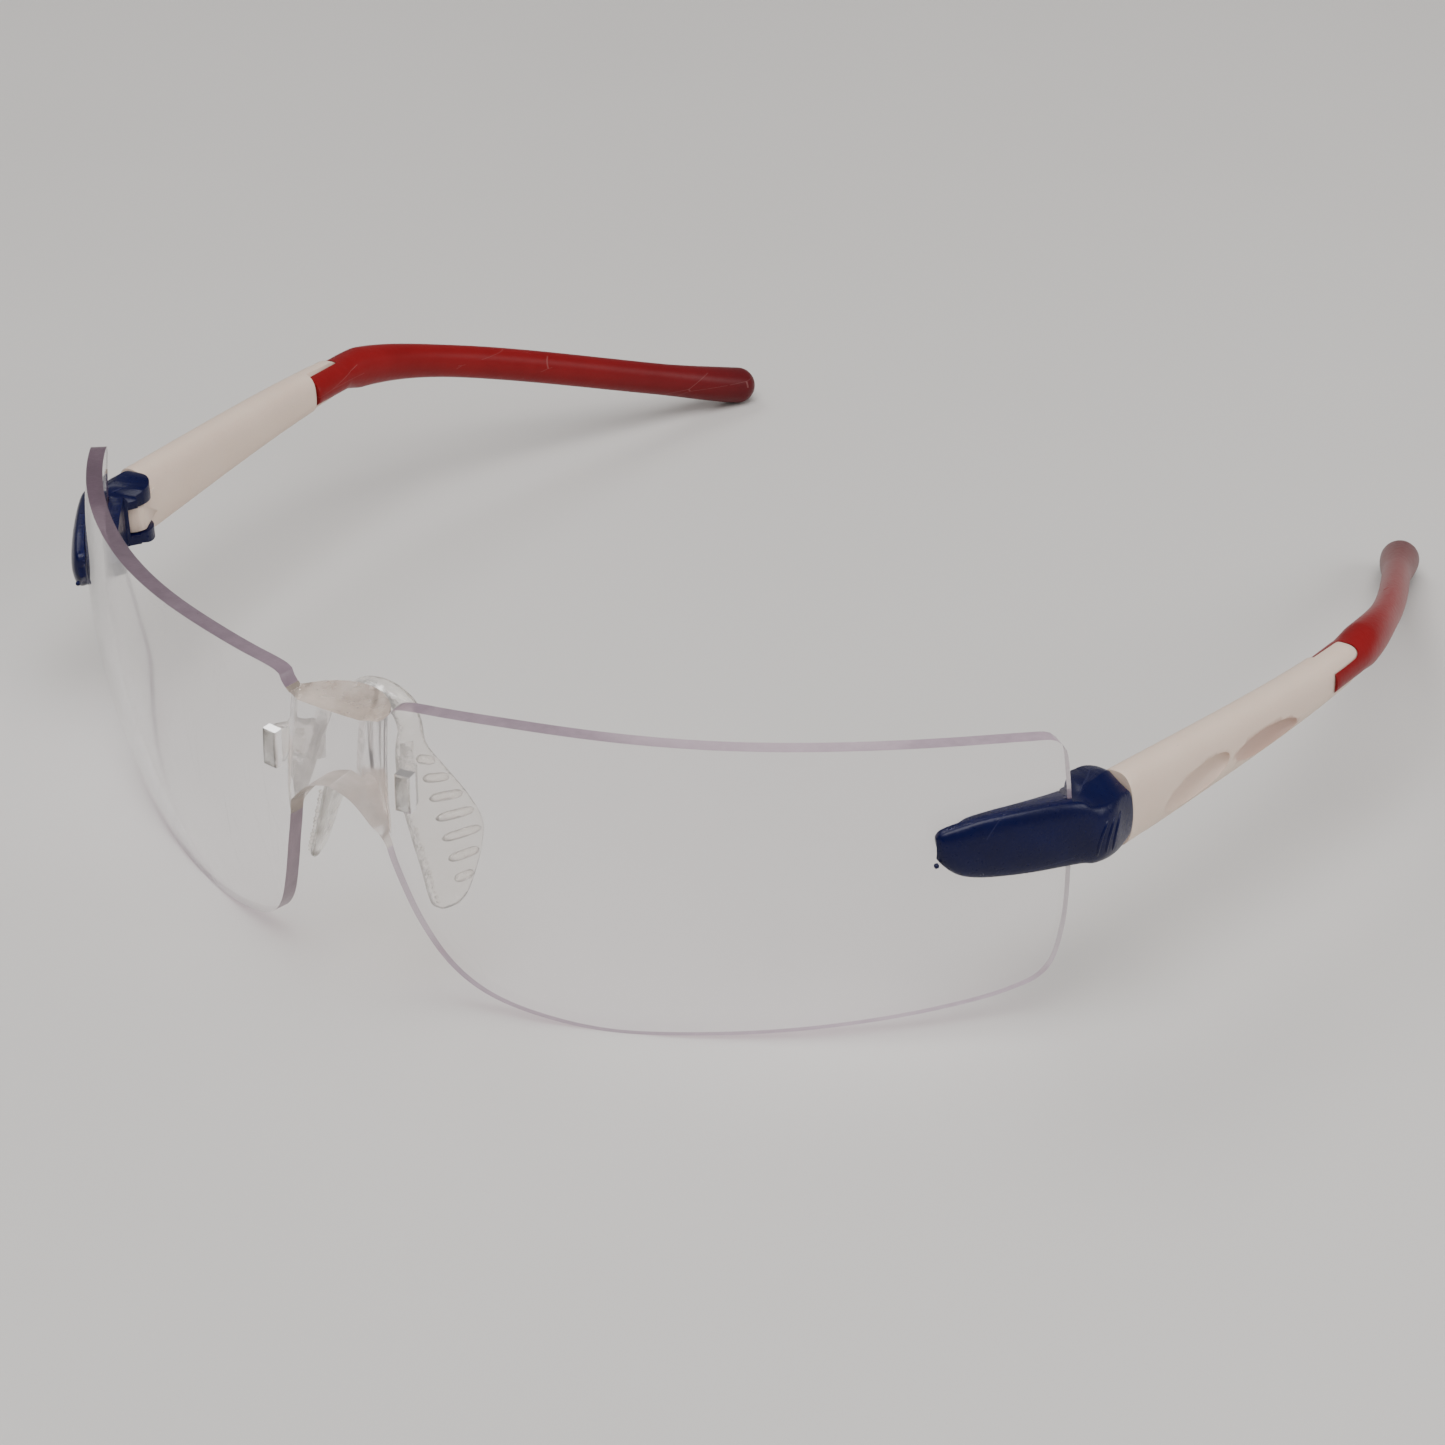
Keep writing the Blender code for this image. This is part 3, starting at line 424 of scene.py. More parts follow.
class Reading:
    """A number that leaves a node's socket; sums and products of it add Math nodes."""

    def __init__(self, wiring, socket):
        self.wiring = wiring
        self.socket = socket

    def __add__(self, other):
        return self.wiring.maths("ADD", self, other)

    def __sub__(self, other):
        return self.wiring.maths("SUBTRACT", self, other)

    def __rsub__(self, other):
        return self.wiring.maths("SUBTRACT", other, self)

    def __mul__(self, other):
        return self.wiring.maths("MULTIPLY", self, other)

    def __pow__(self, other):
        return self.wiring.maths("POWER", self, other)

    def __gt__(self, other):
        return self.wiring.maths("GREATER_THAN", self, other)

    def __lt__(self, other):
        return self.wiring.maths("LESS_THAN", self, other)

    __radd__ = __add__
    __rmul__ = __mul__


class Wiring:
    """A node tree, and the ways that nodes are added to it."""

    def __init__(self, tree):
        self.tree = tree

    def node(self, kind, settings=None, values=None, out=0):
        """Adds a node, sets it up, fills its sockets and returns one of its outputs."""
        node = self.tree.nodes.new(kind)
        for name, value in (settings or {}).items():
            setattr(node, name, value)
        for name, value in (values or {}).items():
            socket = node.inputs[name]
            if isinstance(value, Reading):
                self.tree.links.new(value.socket, socket)
            else:
                socket.default_value = value
        return Reading(self, node.outputs[out]) if node.outputs else None

    def maths(self, operation, first, second=0.0):
        return self.node("ShaderNodeMath", {"operation": operation}, {0: first, 1: second})

    def mix(self, share, first, second):
        """A colour between two colours."""
        return self.node("ShaderNodeMix", {"data_type": "RGBA"}, {0: share, 6: first, 7: second}, out=2)


class Finish(Wiring):
    """A material, with the patterns that the pieces share."""

    def __init__(self, name):
        self.material = bpy.data.materials.new(name)
        self.material.use_nodes = True
        super().__init__(self.material.node_tree)
        self.tree.nodes.clear()
        self.place = self.node("ShaderNodeTexCoord", out="Object")

    def noise(self, size, detail=3.0, roughness=0.55, stretch=(1.0, 1.0, 1.0)):
        """Soft noise from 0 to 1, with features of about this size."""
        placed = self.node("ShaderNodeMapping", None, {"Vector": self.place, "Scale": stretch})
        values = {"Vector": placed, "Scale": 1 / size, "Detail": detail, "Roughness": roughness}
        return self.node("ShaderNodeTexNoise", None, values)

    def hairlines(self, size, stretch, turn, width=0.03):
        """1 on thin broken scratches, 0 elsewhere."""
        values = {"Vector": self.place, "Rotation": turn, "Scale": stretch}
        placed = self.node("ShaderNodeMapping", None, values)
        values = {"Vector": placed, "Scale": 1 / size}
        cells = self.node("ShaderNodeTexVoronoi", {"feature": "DISTANCE_TO_EDGE"}, values)
        return (cells < width) * (self.noise(9 * MM) > 0.52)

    def specks(self, size, share):
        """1 on small round specks, 0 elsewhere."""
        cells = self.node("ShaderNodeTexVoronoi", None, {"Vector": self.place, "Scale": 1 / size})
        return (cells < share) * (self.noise(4 * size, detail=0.0) > 0.55)

    def bump(self, height, depth):
        """Raises the surface by the height reading times the depth in metres."""
        return self.node("ShaderNodeBump", None, {"Height": height, "Distance": depth, "Strength": 1.0})

    def surface(self, **values):
        """The Principled shader, with sockets named by words joined by underscores."""
        named = {name.replace("_", " "): value for name, value in values.items()}
        return self.node("ShaderNodeBsdfPrincipled", None, named)

    def glass(self, tint, roughness, **values):
        """A clear plastic that bends the light."""
        values = {"IOR": 1.45, "Transmission_Weight": 1.0, **values}
        return self.surface(Base_Color=tint, Roughness=roughness, **values)

    def ramp(self, value, low, high):
        """0 where the value is at low, 1 where it is at high."""
        values = {"Value": value, "From Min": low, "From Max": high, "To Min": 0.0, "To Max": 1.0}
        return self.node("ShaderNodeMapRange", {"clamp": True}, values)

    def across(self):
        """How far to the wearer's left."""
        return self.node("ShaderNodeSeparateXYZ", None, {"Vector": self.place}, out="X")

    def output(self, shader):
        self.node("ShaderNodeOutputMaterial", None, {"Surface": shader})
        return self.material

    def clear_output(self, share, glass, cloudy, tint):
        """Glass that is cloudy by a share. Lamps shine through it, so that its shadow stays faint."""
        shader = self.node("ShaderNodeMixShader", None, {0: share, 1: glass, 2: cloudy})
        shadow = self.node("ShaderNodeLightPath", out="Is Shadow Ray")
        clear = self.node("ShaderNodeBsdfTransparent", None, {"Color": tint})
        return self.output(self.node("ShaderNodeMixShader", None, {0: shadow, 1: shader, 2: clear}))


def clear_lens_finish():
    """Polished polycarbonate with a faint haze, a few hairline scratches and dust."""
    finish = Finish("clear_polycarbonate")
    scratches = finish.hairlines(5 * MM, (1.0, 1.0, 0.12), (0.3, 0.5, 0.9), width=0.003)
    dust = finish.specks(2.4 * MM, 0.05)
    wear = finish.noise(14 * MM)
    roughness = 0.015 + 0.03 * wear + 0.10 * scratches + 0.2 * dust
    normal = finish.bump(finish.noise(26 * MM, detail=1.0) - 0.1 * scratches, 0.02 * MM)
    side = finish.across()
    bridge = finish.ramp(side * side, (7 * MM) ** 2, (5 * MM) ** 2)
    glass = finish.glass((0.985, 0.975, 0.98, 1.0), roughness, Normal=normal)
    haze = finish.surface(Base_Color=(0.80, 0.76, 0.77, 1.0), Roughness=0.4)
    share = 0.02 + 0.02 * wear + 0.08 * dust + 0.13 * bridge
    return finish.clear_output(share, glass, haze, (0.90, 0.89, 0.90, 1.0))


def cut_edge_finish():
    """The machined rim of the lens: mauve with fine mill marks, and painted light and shade that run it from
    dark on the wearer's right to pale on their left.
    """
    finish = Finish("lens_cut_edge")
    cloud = finish.noise(7 * MM)
    marks = finish.noise(0.35 * MM, detail=4.0)
    streaks = finish.noise(1.6 * MM, stretch=(1.0, 1.0, 0.15))
    # Painted light and shade: the rim's mauve goes from dark on the wearer's right to pale on their left.
    painted_light_side = finish.ramp(finish.across(), -60 * MM, 70 * MM)
    painted_shade_mauve = finish.mix(cloud, (0.070, 0.036, 0.060, 1.0), (0.140, 0.085, 0.120, 1.0))
    painted_lit_mauve = finish.mix(cloud, (0.46, 0.34, 0.42, 1.0), (0.62, 0.49, 0.57, 1.0))
    colour = finish.mix(painted_light_side, painted_shade_mauve, painted_lit_mauve)
    rim = finish.surface(
        Base_Color=colour,
        Roughness=0.22 + 0.2 * marks,
        IOR=1.5,
        Normal=finish.bump(marks + 0.5 * streaks, 0.03 * MM),
    )
    glass = finish.glass((0.80, 0.68, 0.74, 1.0), 0.12)
    return finish.clear_output(0.55 + 0.3 * streaks, glass, rim, (0.75, 0.68, 0.72, 1.0))


def bridge_finish():
    """The bridge's own rims, where the thick clear plastic turns beige and cloudy."""
    finish = Finish("bridge_rim")
    cloud = finish.noise(2.5 * MM)
    marks = finish.noise(0.5 * MM, detail=4.0)
    colour = finish.mix(cloud, (0.44, 0.34, 0.27, 1.0), (0.62, 0.52, 0.44, 1.0))
    normal = finish.bump(marks, 0.05 * MM)
    rim = finish.surface(Base_Color=colour, Roughness=0.3 + 0.2 * marks, Normal=normal)
    glass = finish.glass((0.93, 0.88, 0.82, 1.0), 0.12, Normal=normal)
    return finish.clear_output(0.25 + 0.3 * cloud, glass, rim, (0.82, 0.78, 0.74, 1.0))


def soft_clear_finish():
    """The nosepiece's clear elastomer, slightly warm, with a fine uneven skin."""
    finish = Finish("soft_clear")
    skin = finish.noise(0.9 * MM, detail=4.0)
    swirl = finish.noise(3.5 * MM)
    normal = finish.bump(skin + 0.8 * swirl, 0.16 * MM)
    glass = finish.glass((0.95, 0.93, 0.90, 1.0), 0.03 + 0.08 * skin, Normal=normal)
    haze = finish.surface(Base_Color=(0.78, 0.75, 0.71, 1.0), Roughness=0.3)
    return finish.clear_output(0.03 + 0.06 * swirl, glass, haze, (0.88, 0.86, 0.83, 1.0))


def blue_finish():
    """Deep glossy navy, its shine broken by a fine mottle, with scuffs on the handled faces."""
    finish = Finish("blue_plastic")
    mottle = finish.noise(0.55 * MM, detail=4.0)
    cloud = finish.noise(5 * MM)
    scuffs = finish.hairlines(6 * MM, (1.0, 0.12, 0.6), (0.2, 0.0, 0.5), width=0.006)
    colour = finish.mix(cloud, (0.0003, 0.0009, 0.0200, 1.0), (0.0007, 0.0028, 0.0480, 1.0))
    worn = finish.mix(0.5 * scuffs, colour, (0.02, 0.022, 0.07, 1.0))
    shell = finish.surface(
        Base_Color=worn,
        Roughness=0.20 + 0.20 * mottle + 0.1 * scuffs,
        IOR=1.45,
        Specular_IOR_Level=0.28,
        Normal=finish.bump(mottle - 0.3 * scuffs, 0.035 * MM),
    )
    return finish.output(shell)


def white_finish():
    """Satin warm white with moulding clouds, and painted shade that makes the scoops pinker and darker."""
    finish = Finish("white_plastic")
    cloud = finish.noise(8 * MM)
    grain = finish.noise(0.30 * MM, detail=2.0)
    flow = finish.noise(3 * MM, stretch=(1.0, 0.2, 1.0))
    grime = finish.specks(1.6 * MM, 0.05)
    body = finish.mix(cloud, (0.66, 0.515, 0.42, 1.0), (0.74, 0.60, 0.50, 1.0))
    # Painted shade: corners on a scoop's wall are mixed towards a darker pinkish brown, most in the rear
    # scoop.
    hollow_shade = finish.node("ShaderNodeAttribute", {"attribute_name": "hollow_shade"}, out="Fac")
    shaded = finish.mix(hollow_shade * (0.75 + 0.25 * flow), body, (0.50, 0.33, 0.27, 1.0))
    marked = finish.mix(0.4 * grime, shaded, (0.42, 0.33, 0.28, 1.0))
    shell = finish.surface(
        Base_Color=marked,
        Roughness=0.34 + 0.10 * flow + 0.12 * grain,
        IOR=1.46,
        Subsurface_Weight=0.12,
        Subsurface_Radius=(1.2 * MM, 0.7 * MM, 0.5 * MM),
        Subsurface_Scale=1.0,
        Normal=finish.bump(grain, 0.012 * MM),
    )
    return finish.output(shell)


def red_finish():
    """Glossy soft plastic, deep red, greyer and darker towards the bulb."""
    finish = Finish("red_soft_plastic")
    along = finish.node("ShaderNodeAttribute", {"attribute_name": "along"}, out="Fac")
    cloud = finish.noise(6 * MM)
    skin = finish.noise(0.7 * MM, detail=3.0)
    lint = finish.hairlines(5 * MM, (0.4, 0.15, 1.0), (0.6, 0.2, 0.1), width=0.004)
    bright = finish.mix(cloud, (0.165, 0.0040, 0.0055, 1.0), (0.235, 0.0090, 0.0110, 1.0))
    end = finish.mix(cloud, (0.075, 0.0050, 0.0075, 1.0), (0.110, 0.0090, 0.0120, 1.0))
    colour = finish.mix(along**3.0, bright, end)
    dusty = finish.mix(0.15 * lint, colour, (0.5, 0.28, 0.26, 1.0))
    shell = finish.surface(
        Base_Color=dusty,
        Roughness=0.30 + 0.12 * skin + 0.1 * lint,
        IOR=1.30,
        Specular_IOR_Level=0.4,
        Subsurface_Weight=0.05,
        Subsurface_Radius=(1.0 * MM, 0.2 * MM, 0.2 * MM),
        Subsurface_Scale=1.0,
        Normal=finish.bump(skin, 0.03 * MM),
    )
    return finish.output(shell)


def steel_finish():
    """Turned steel with fine rings from the lathe."""
    finish = Finish("steel_pin")
    rings = finish.noise(0.12 * MM, stretch=(0.1, 0.1, 1.0))
    stain = finish.noise(0.8 * MM)
    colour = finish.mix(stain, (0.30, 0.22, 0.15, 1.0), (0.46, 0.38, 0.30, 1.0))
    shell = finish.surface(
        Base_Color=colour,
        Metallic=1.0,
        Roughness=0.28 + 0.2 * rings,
        Normal=finish.bump(rings, 0.01 * MM),
    )
    return finish.output(shell)


def floor_finish():
    finish = Finish("studio_floor")
    cloud = finish.noise(90 * MM)
    colour = finish.mix(cloud, (0.62, 0.60, 0.58, 1.0), (0.66, 0.64, 0.62, 1.0))
    return finish.output(finish.surface(Base_Color=colour, Roughness=0.7))


# --- node trees that make what repeats ---


def new_tree(name, inputs):
    """A Geometry Nodes tree with named inputs, given as (name, kind) pairs."""
    tree = bpy.data.node_groups.new(name, "GeometryNodeTree")
    tree.interface.new_socket("Geometry", in_out="INPUT", socket_type="NodeSocketGeometry")
    for label, kind in inputs:
        tree.interface.new_socket(label, in_out="INPUT", socket_type=kind)
    tree.interface.new_socket("Geometry", in_out="OUTPUT", socket_type="NodeSocketGeometry")
    wiring = Wiring(tree)
    entry = tree.nodes.new("NodeGroupInput")
    given = {socket.name: Reading(wiring, socket) for socket in entry.outputs if socket.name}
    return wiring, given


def close_tree(wiring, geometry, material):
    real = wiring.node("GeometryNodeRealizeInstances", None, {"Geometry": geometry})
    soft = wiring.node("GeometryNodeSetShadeSmooth", None, {"Geometry": real})
    made = wiring.node("GeometryNodeSetMaterial", None, {"Geometry": soft, "Material": material})
    wiring.node("NodeGroupOutput", None, {0: made})
    return wiring.tree


def bead_tree():
    """A bead with rounded ends along every line of the mesh that it is given."""
    inputs = (
        ("Radius", "NodeSocketFloat"),
        ("Points", "NodeSocketInt"),
        ("Sides", "NodeSocketInt"),
        ("Fullness", "NodeSocketFloat"),
        ("Material", "NodeSocketMaterial"),
    )
    wiring, given = new_tree("bead", inputs)
    lines = wiring.node("GeometryNodeMeshToCurve", None, {"Mesh": given["Geometry"]})
    values = {"Curve": lines, "Count": given["Points"]}
    paced = wiring.node("GeometryNodeResampleCurve", None, values)
    share = wiring.node("GeometryNodeSplineParameter", out="Factor")
    ends = wiring.maths("ABSOLUTE", 2.0 * share - 1.0)
    full = wiring.maths("MAXIMUM", 1.0 - ends ** given["Fullness"], 0.02)
    ring = wiring.node(
        "GeometryNodeCurvePrimitiveCircle", None, {"Resolution": given["Sides"], "Radius": given["Radius"]}
    )
    values = {"Curve": paced, "Profile Curve": ring, "Scale": wiring.maths("SQRT", full), "Fill Caps": True}
    bead = wiring.node("GeometryNodeCurveToMesh", None, values)
    return close_tree(wiring, bead, given["Material"])


def teeth_tree():
    """A row of small round teeth of uneven size along every line of the mesh that it is given."""
    inputs = (
        ("Size", "NodeSocketFloat"),
        ("Count", "NodeSocketInt"),
        ("Unevenness", "NodeSocketFloat"),
        ("Material", "NodeSocketMaterial"),
    )
    wiring, given = new_tree("teeth", inputs)
    lines = wiring.node("GeometryNodeMeshToCurve", None, {"Mesh": given["Geometry"]})
    paced = wiring.node("GeometryNodeResampleCurve", None, {"Curve": lines, "Count": given["Count"]})
    tooth = wiring.node(
        "GeometryNodeMeshUVSphere", None, {"Segments": 10, "Rings": 7, "Radius": given["Size"]}
    )
    values = {2: 1.0 - given["Unevenness"], 3: 1.0, "Seed": 7}
    sizes = wiring.node("FunctionNodeRandomValue", {"data_type": "FLOAT"}, values, out=1)
    values = {"Points": paced, "Instance": tooth, "Scale": sizes}
    row = wiring.node("GeometryNodeInstanceOnPoints", None, values)
    return close_tree(wiring, row, given["Material"])


def grow(obj, tree, **values):
    """Runs a tree on an object and keeps the result as a plain mesh."""
    modifier = obj.modifiers.new(tree.name, "NODES")
    modifier.node_group = tree
    for item in tree.interface.items_tree:
        if item.in_out == "INPUT" and item.name in values:
            modifier[item.identifier] = values[item.name]
    settle(obj)


# --- the lens ---


def bridge_swell(arc):
    """1 at the middle of the bridge, falling to 0 at its sides."""
    share = min(1.0, abs(arc) / BRIDGE_HALF_WIDTH)
    return (1 - share**2) ** 0.75


def bridge_face(arc, height):
    """1 over the bridge's flat face, falling to 0 over the sloped walls beside it."""
    down = max(0.0, min(1.0, (LENS_HEIGHT - BRIDGE_DROP - height) / BRIDGE_FACE_FALL))
    crease = BRIDGE_CREASE[0] + down * (BRIDGE_CREASE[1] - BRIDGE_CREASE[0])
    foot = BRIDGE_WALL_FOOT[0] + down * (BRIDGE_WALL_FOOT[1] - BRIDGE_WALL_FOOT[0])
    return max(0.0, min(1.0, (foot - abs(arc)) / (foot - crease)))


def lens_half_outline():
    """Half of the blank's outline, from the middle of the top round to the middle of the arch."""
    arc = LENS_HALF_ARC
    top = LENS_HEIGHT
    shelf = top - BRIDGE_DROP
    side = BRIDGE_HALF_WIDTH
    edge = [
        (side - 0.2 * MM, shelf),
        (side + 0.9 * MM, shelf + 0.3 * BRIDGE_DROP),
        (side + 2.2 * MM, top - 0.45 * MM),
        (side + 8.0 * MM, top - 0.1 * MM),
        (0.30 * arc, top),
        (0.52 * arc, top - 0.6 * MM),
        (0.76 * arc, top - 1.4 * MM),
        (0.94 * arc, top - 2.5 * MM),
        (arc - 0.8 * MM, top - 3.6 * MM),
        (arc, top - 7.5 * MM),
        (arc, 0.55 * top),
        (arc - 0.3 * MM, 0.31 * top),
        (arc - 1.8 * MM, 0.16 * top),
        (arc - 6.3 * MM, 0.105 * top),
        (0.82 * arc, 0.070 * top),
        (0.66 * arc, 0.036 * top),
        (0.50 * arc, 0.012 * top),
        (0.37 * arc, 0.0),
        (0.27 * arc, 0.028 * top),
        (side + 10.2 * MM, 0.08 * top),
        (side + 6.2 * MM, 0.17 * top),
        (side + 3.3 * MM, 0.31 * top),
        (side + 1.1 * MM, ARCH_FOOT - 5.0 * MM),
        (side, ARCH_FOOT - 0.9 * MM),
        (side - 1.2 * MM, ARCH_FOOT + 0.9 * MM),
        (0.45 * side, ARCH_TOP - 0.9 * MM),
        (0.0, ARCH_TOP),
    ]
    curve = [Vector(point) for point in spread(edge, 500)]
    return evenly([Vector((0.0, shelf))] + curve, 0.8 * MM)


def lens_blank():
    """The flat blank, laid out as (arc, depth, height), with its cut edges marked."""
    half = lens_half_outline()
    outline = half + [Vector((-u, v)) for u, v in reversed(half[1:-1])]
    blank = prism(outline, -LENS_THICKNESS, 0.0)
    upright = Matrix.Rotation(math.pi / 2, 3, "X")
    bmesh.ops.rotate(blank, cent=(0, 0, 0), matrix=upright, verts=blank.verts)
    slice_solid(blank, 0, LENS_CELL, -LENS_HALF_ARC, LENS_HALF_ARC)
    slice_solid(blank, 0, 0.3 * MM, -BRIDGE_RIM, BRIDGE_RIM)
    slice_solid(blank, 2, LENS_CELL, 0.0, LENS_HEIGHT)
    slice_solid(blank, 1, 0.5 * MM, 0.5 * MM, LENS_THICKNESS - 0.4 * MM)
    for face in blank.faces:
        edge = 2 if abs(face.calc_center_median().x) < BRIDGE_RIM else 1
        face.material_index = 0 if abs(face.normal.y) > 0.5 else edge
    for vert in blank.verts:
        share = vert.co.y / LENS_THICKNESS
        swell = bridge_swell(vert.co.x) * share * (BRIDGE_DEPTH - LENS_THICKNESS)
        crown = bridge_face(vert.co.x, vert.co.z) * (1 - share) * BRIDGE_CROWN
        vert.co.y += swell - crown
    return blank


def bend(solid):
    """Bends a flat solid, laid out as (arc, depth, height), over the lens surface."""
    bmesh.ops.triangulate(solid, faces=solid.faces)
    for vert in solid.verts:
        vert.co = lens_point(*vert.co)
    return solid


def lug_slot(side):
    """The slot in the lens that a lug passes through."""
    arc = side * LUG_ARC
    half_width = LUG_WIDTH / 2 + LUG_GAP
    half_length = LUG_LENGTH / 2 + LUG_GAP
    low = (arc - half_width, -2 * MM, LUG_HEIGHT - half_length)
    high = (arc + half_width, LENS_THICKNESS + 2 * MM, LUG_HEIGHT + half_length)
    return new_object("lug_slot", bend(box(low, high)))


def make_lens(*finishes):
    lens = new_object("clear_lens", bend(lens_blank()))
    for finish in finishes:
        lens.data.materials.append(finish)
    for side in (1, -1):
        combine(lens, "DIFFERENCE", lug_slot(side))
    tidy(lens)
    smooth(lens)
    hand_over([lens], "front")
    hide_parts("lens")


# --- the nosepiece ---


def pad_point(back, height):
    """A point on the middle surface of the left pad."""
    x = SADDLE_RADIUS + PAD_SLOPE * (SADDLE_TOP - SADDLE_RADIUS - height) + PAD_FLARE * (back - SADDLE_BACK)
    return Vector((x, back, height)) + SHIFT


def pad_height(share):
    """The height at a share of the way down the pad."""
    spring = SADDLE_TOP - SADDLE_RADIUS
    return spring + share * (PAD_FOOT - spring)


PAD_STATIONS = (  # down the pad: share of its height, front edge, back edge, wall
    (0.00, SADDLE_BACK - SADDLE_DEPTH / 2, SADDLE_BACK + SADDLE_DEPTH / 2, SADDLE_WALL),
    (0.11, SADDLE_BACK - 2.4 * MM, SADDLE_BACK + 1.2 * MM, PAD_WALL),
    (0.28, SADDLE_BACK - 3.2 * MM, SADDLE_BACK + 2.6 * MM, PAD_WALL),
    (0.45, SADDLE_BACK - 3.5 * MM, SADDLE_BACK + 4.0 * MM, PAD_WALL),
    (0.62, SADDLE_BACK - 3.6 * MM, SADDLE_BACK + 4.7 * MM, PAD_WALL),
    (0.76, SADDLE_BACK - 3.6 * MM, SADDLE_BACK + 3.6 * MM, PAD_WALL),
    (0.88, SADDLE_BACK - 3.7 * MM, SADDLE_BACK + 2.0 * MM, PAD_WALL),
    (0.96, SADDLE_BACK - 3.6 * MM, SADDLE_BACK + 0.6 * MM, PAD_WALL),
    (1.00, SADDLE_BACK - 2.9 * MM, SADDLE_BACK - 0.6 * MM, 0.6 * PAD_WALL),
)


def pad_edges(share):
    """The pad's front and back edges at a share of the way down it."""
    for k, (low, high) in enumerate(zip(PAD_STATIONS, PAD_STATIONS[1:])):
        if share <= high[0]:
            reading = between(PAD_STATIONS, k + (share - low[0]) / (high[0] - low[0]))
            return reading[1], reading[2]
    return PAD_STATIONS[-1][1:3]


def flat_oval(half_length, half_wall, sides=32):
    """Places round a flat section with full ends."""
    places = []
    for i in range(sides):
        turn = 2 * math.pi * i / sides
        along = fuller(math.cos(turn), 0.6) * half_length
        places.append((along, math.sin(turn) * half_wall))
    return places


def pad_section(side, station):
    share, front, back, wall = station
    ring = []
    for along, across in flat_oval((back - front) / 2, wall / 2):
        point = pad_point((front + back) / 2 + along, pad_height(share))
        ring.append((side * (point.x + across), point.y, point.z))
    return ring


def saddle_rings(steps=40):
    """Sections of the arch over the nose, from the left leg round to the right leg."""
    rings = []
    middle_radius = SADDLE_RADIUS - SADDLE_WALL / 2
    for k in range(1, steps):
        turn = math.pi * k / steps
        ring = []
        for along, across in flat_oval(SADDLE_DEPTH / 2, SADDLE_WALL / 2):
            lean = PAD_FLARE * along * math.cos(turn)
            x = math.cos(turn) * (SADDLE_RADIUS + across) + lean
            z = SADDLE_TOP - SADDLE_RADIUS + math.sin(turn) * (middle_radius + across)
            ring.append(Vector((x, SADDLE_BACK + along, z)) + SHIFT)
        rings.append(ring)
    return rings


def lug_solid(side):
    """A lug from the pad's front edge forwards through its slot in the lens."""
    arc = side * LUG_ARC
    low = (arc - LUG_WIDTH / 2, -0.15 * MM, LUG_HEIGHT - LUG_LENGTH / 2)
    high = (arc + LUG_WIDTH / 2, LUG_END, LUG_HEIGHT + LUG_LENGTH / 2)
    lug = box(low, high)
    slice_solid(lug, 1, 0.6 * MM, 0.6 * MM, LUG_END)
    sides = side * (pad_point(LUG_END, LUG_HEIGHT).x - lens_point(LUG_ARC, LUG_END, LUG_HEIGHT).x)
    straight = LENS_THICKNESS + FIT_GAP
    for vert in lug.verts:
        share = (vert.co.y - straight) / (LUG_END - straight)
        vert.co = lens_point(*vert.co) + Vector((sides * ease(share), 0, 0))
    return lug


def make_nosepiece(material):
    stations = spread(PAD_STATIONS, 46)
    left = [pad_section(1, station) for station in reversed(stations)]
    right = [pad_section(-1, station) for station in stations]
    nosepiece = new_object("nose_saddle", loft(left + saddle_rings() + right))
    for side in (1, -1):
        combine(nosepiece, "UNION", new_object("lug", lug_solid(side)))
    dress(nosepiece, material, NOSE_ROUND, segments=2, angle=50.0)
    hand_over([nosepiece], "front")
    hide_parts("nosepiece")


def rib_line(side, index):
    """The line of one rib over the pad's outer face, bright front end to back edge."""
    place = index / (RIB_COUNT - 1)
    share = RIB_START + (RIB_END - RIB_START) * place
    back = pad_edges(share)[1] - 1.3 * RIB_RADIUS
    front = min(RIB_FRONT, back - 1.6 * MM)
    start = pad_point(front, pad_height(share) + RIB_RISE * (1 - place))
    end = pad_point(back, pad_height(share))
    outward = Vector((0.42 * PAD_WALL, 0.0, 0.0))
    line = []
    for i in range(9):
        point = start.lerp(end, i / 8) + outward
        line.append((side * point.x, point.y, point.z))
    return line


def tooth_line(side):
    """The line of fine teeth down the pad's front edge."""
    line = []
    for i in range(20):
        share = 0.52 + 0.42 * i / 19
        point = pad_point(pad_edges(share)[0] + 0.35 * MM, pad_height(share))
        line.append((side * (point.x + 0.45 * PAD_WALL), point.y, point.z))
    return line


def make_pad_details(bead, teeth, material):
    ribs = lines_object("nose_ribs", [rib_line(side, k) for side in (1, -1) for k in range(RIB_COUNT)])
    grow(ribs, bead, Radius=RIB_RADIUS, Points=14, Sides=14, Fullness=4.0, Material=material)
    rows = lines_object("nose_teeth", [tooth_line(side) for side in (1, -1)])
    grow(rows, teeth, Size=TOOTH_SIZE, Count=TOOTH_COUNT, Unevenness=0.5, Material=material)
    hand_over([ribs, rows], "front")


# --- clips ---


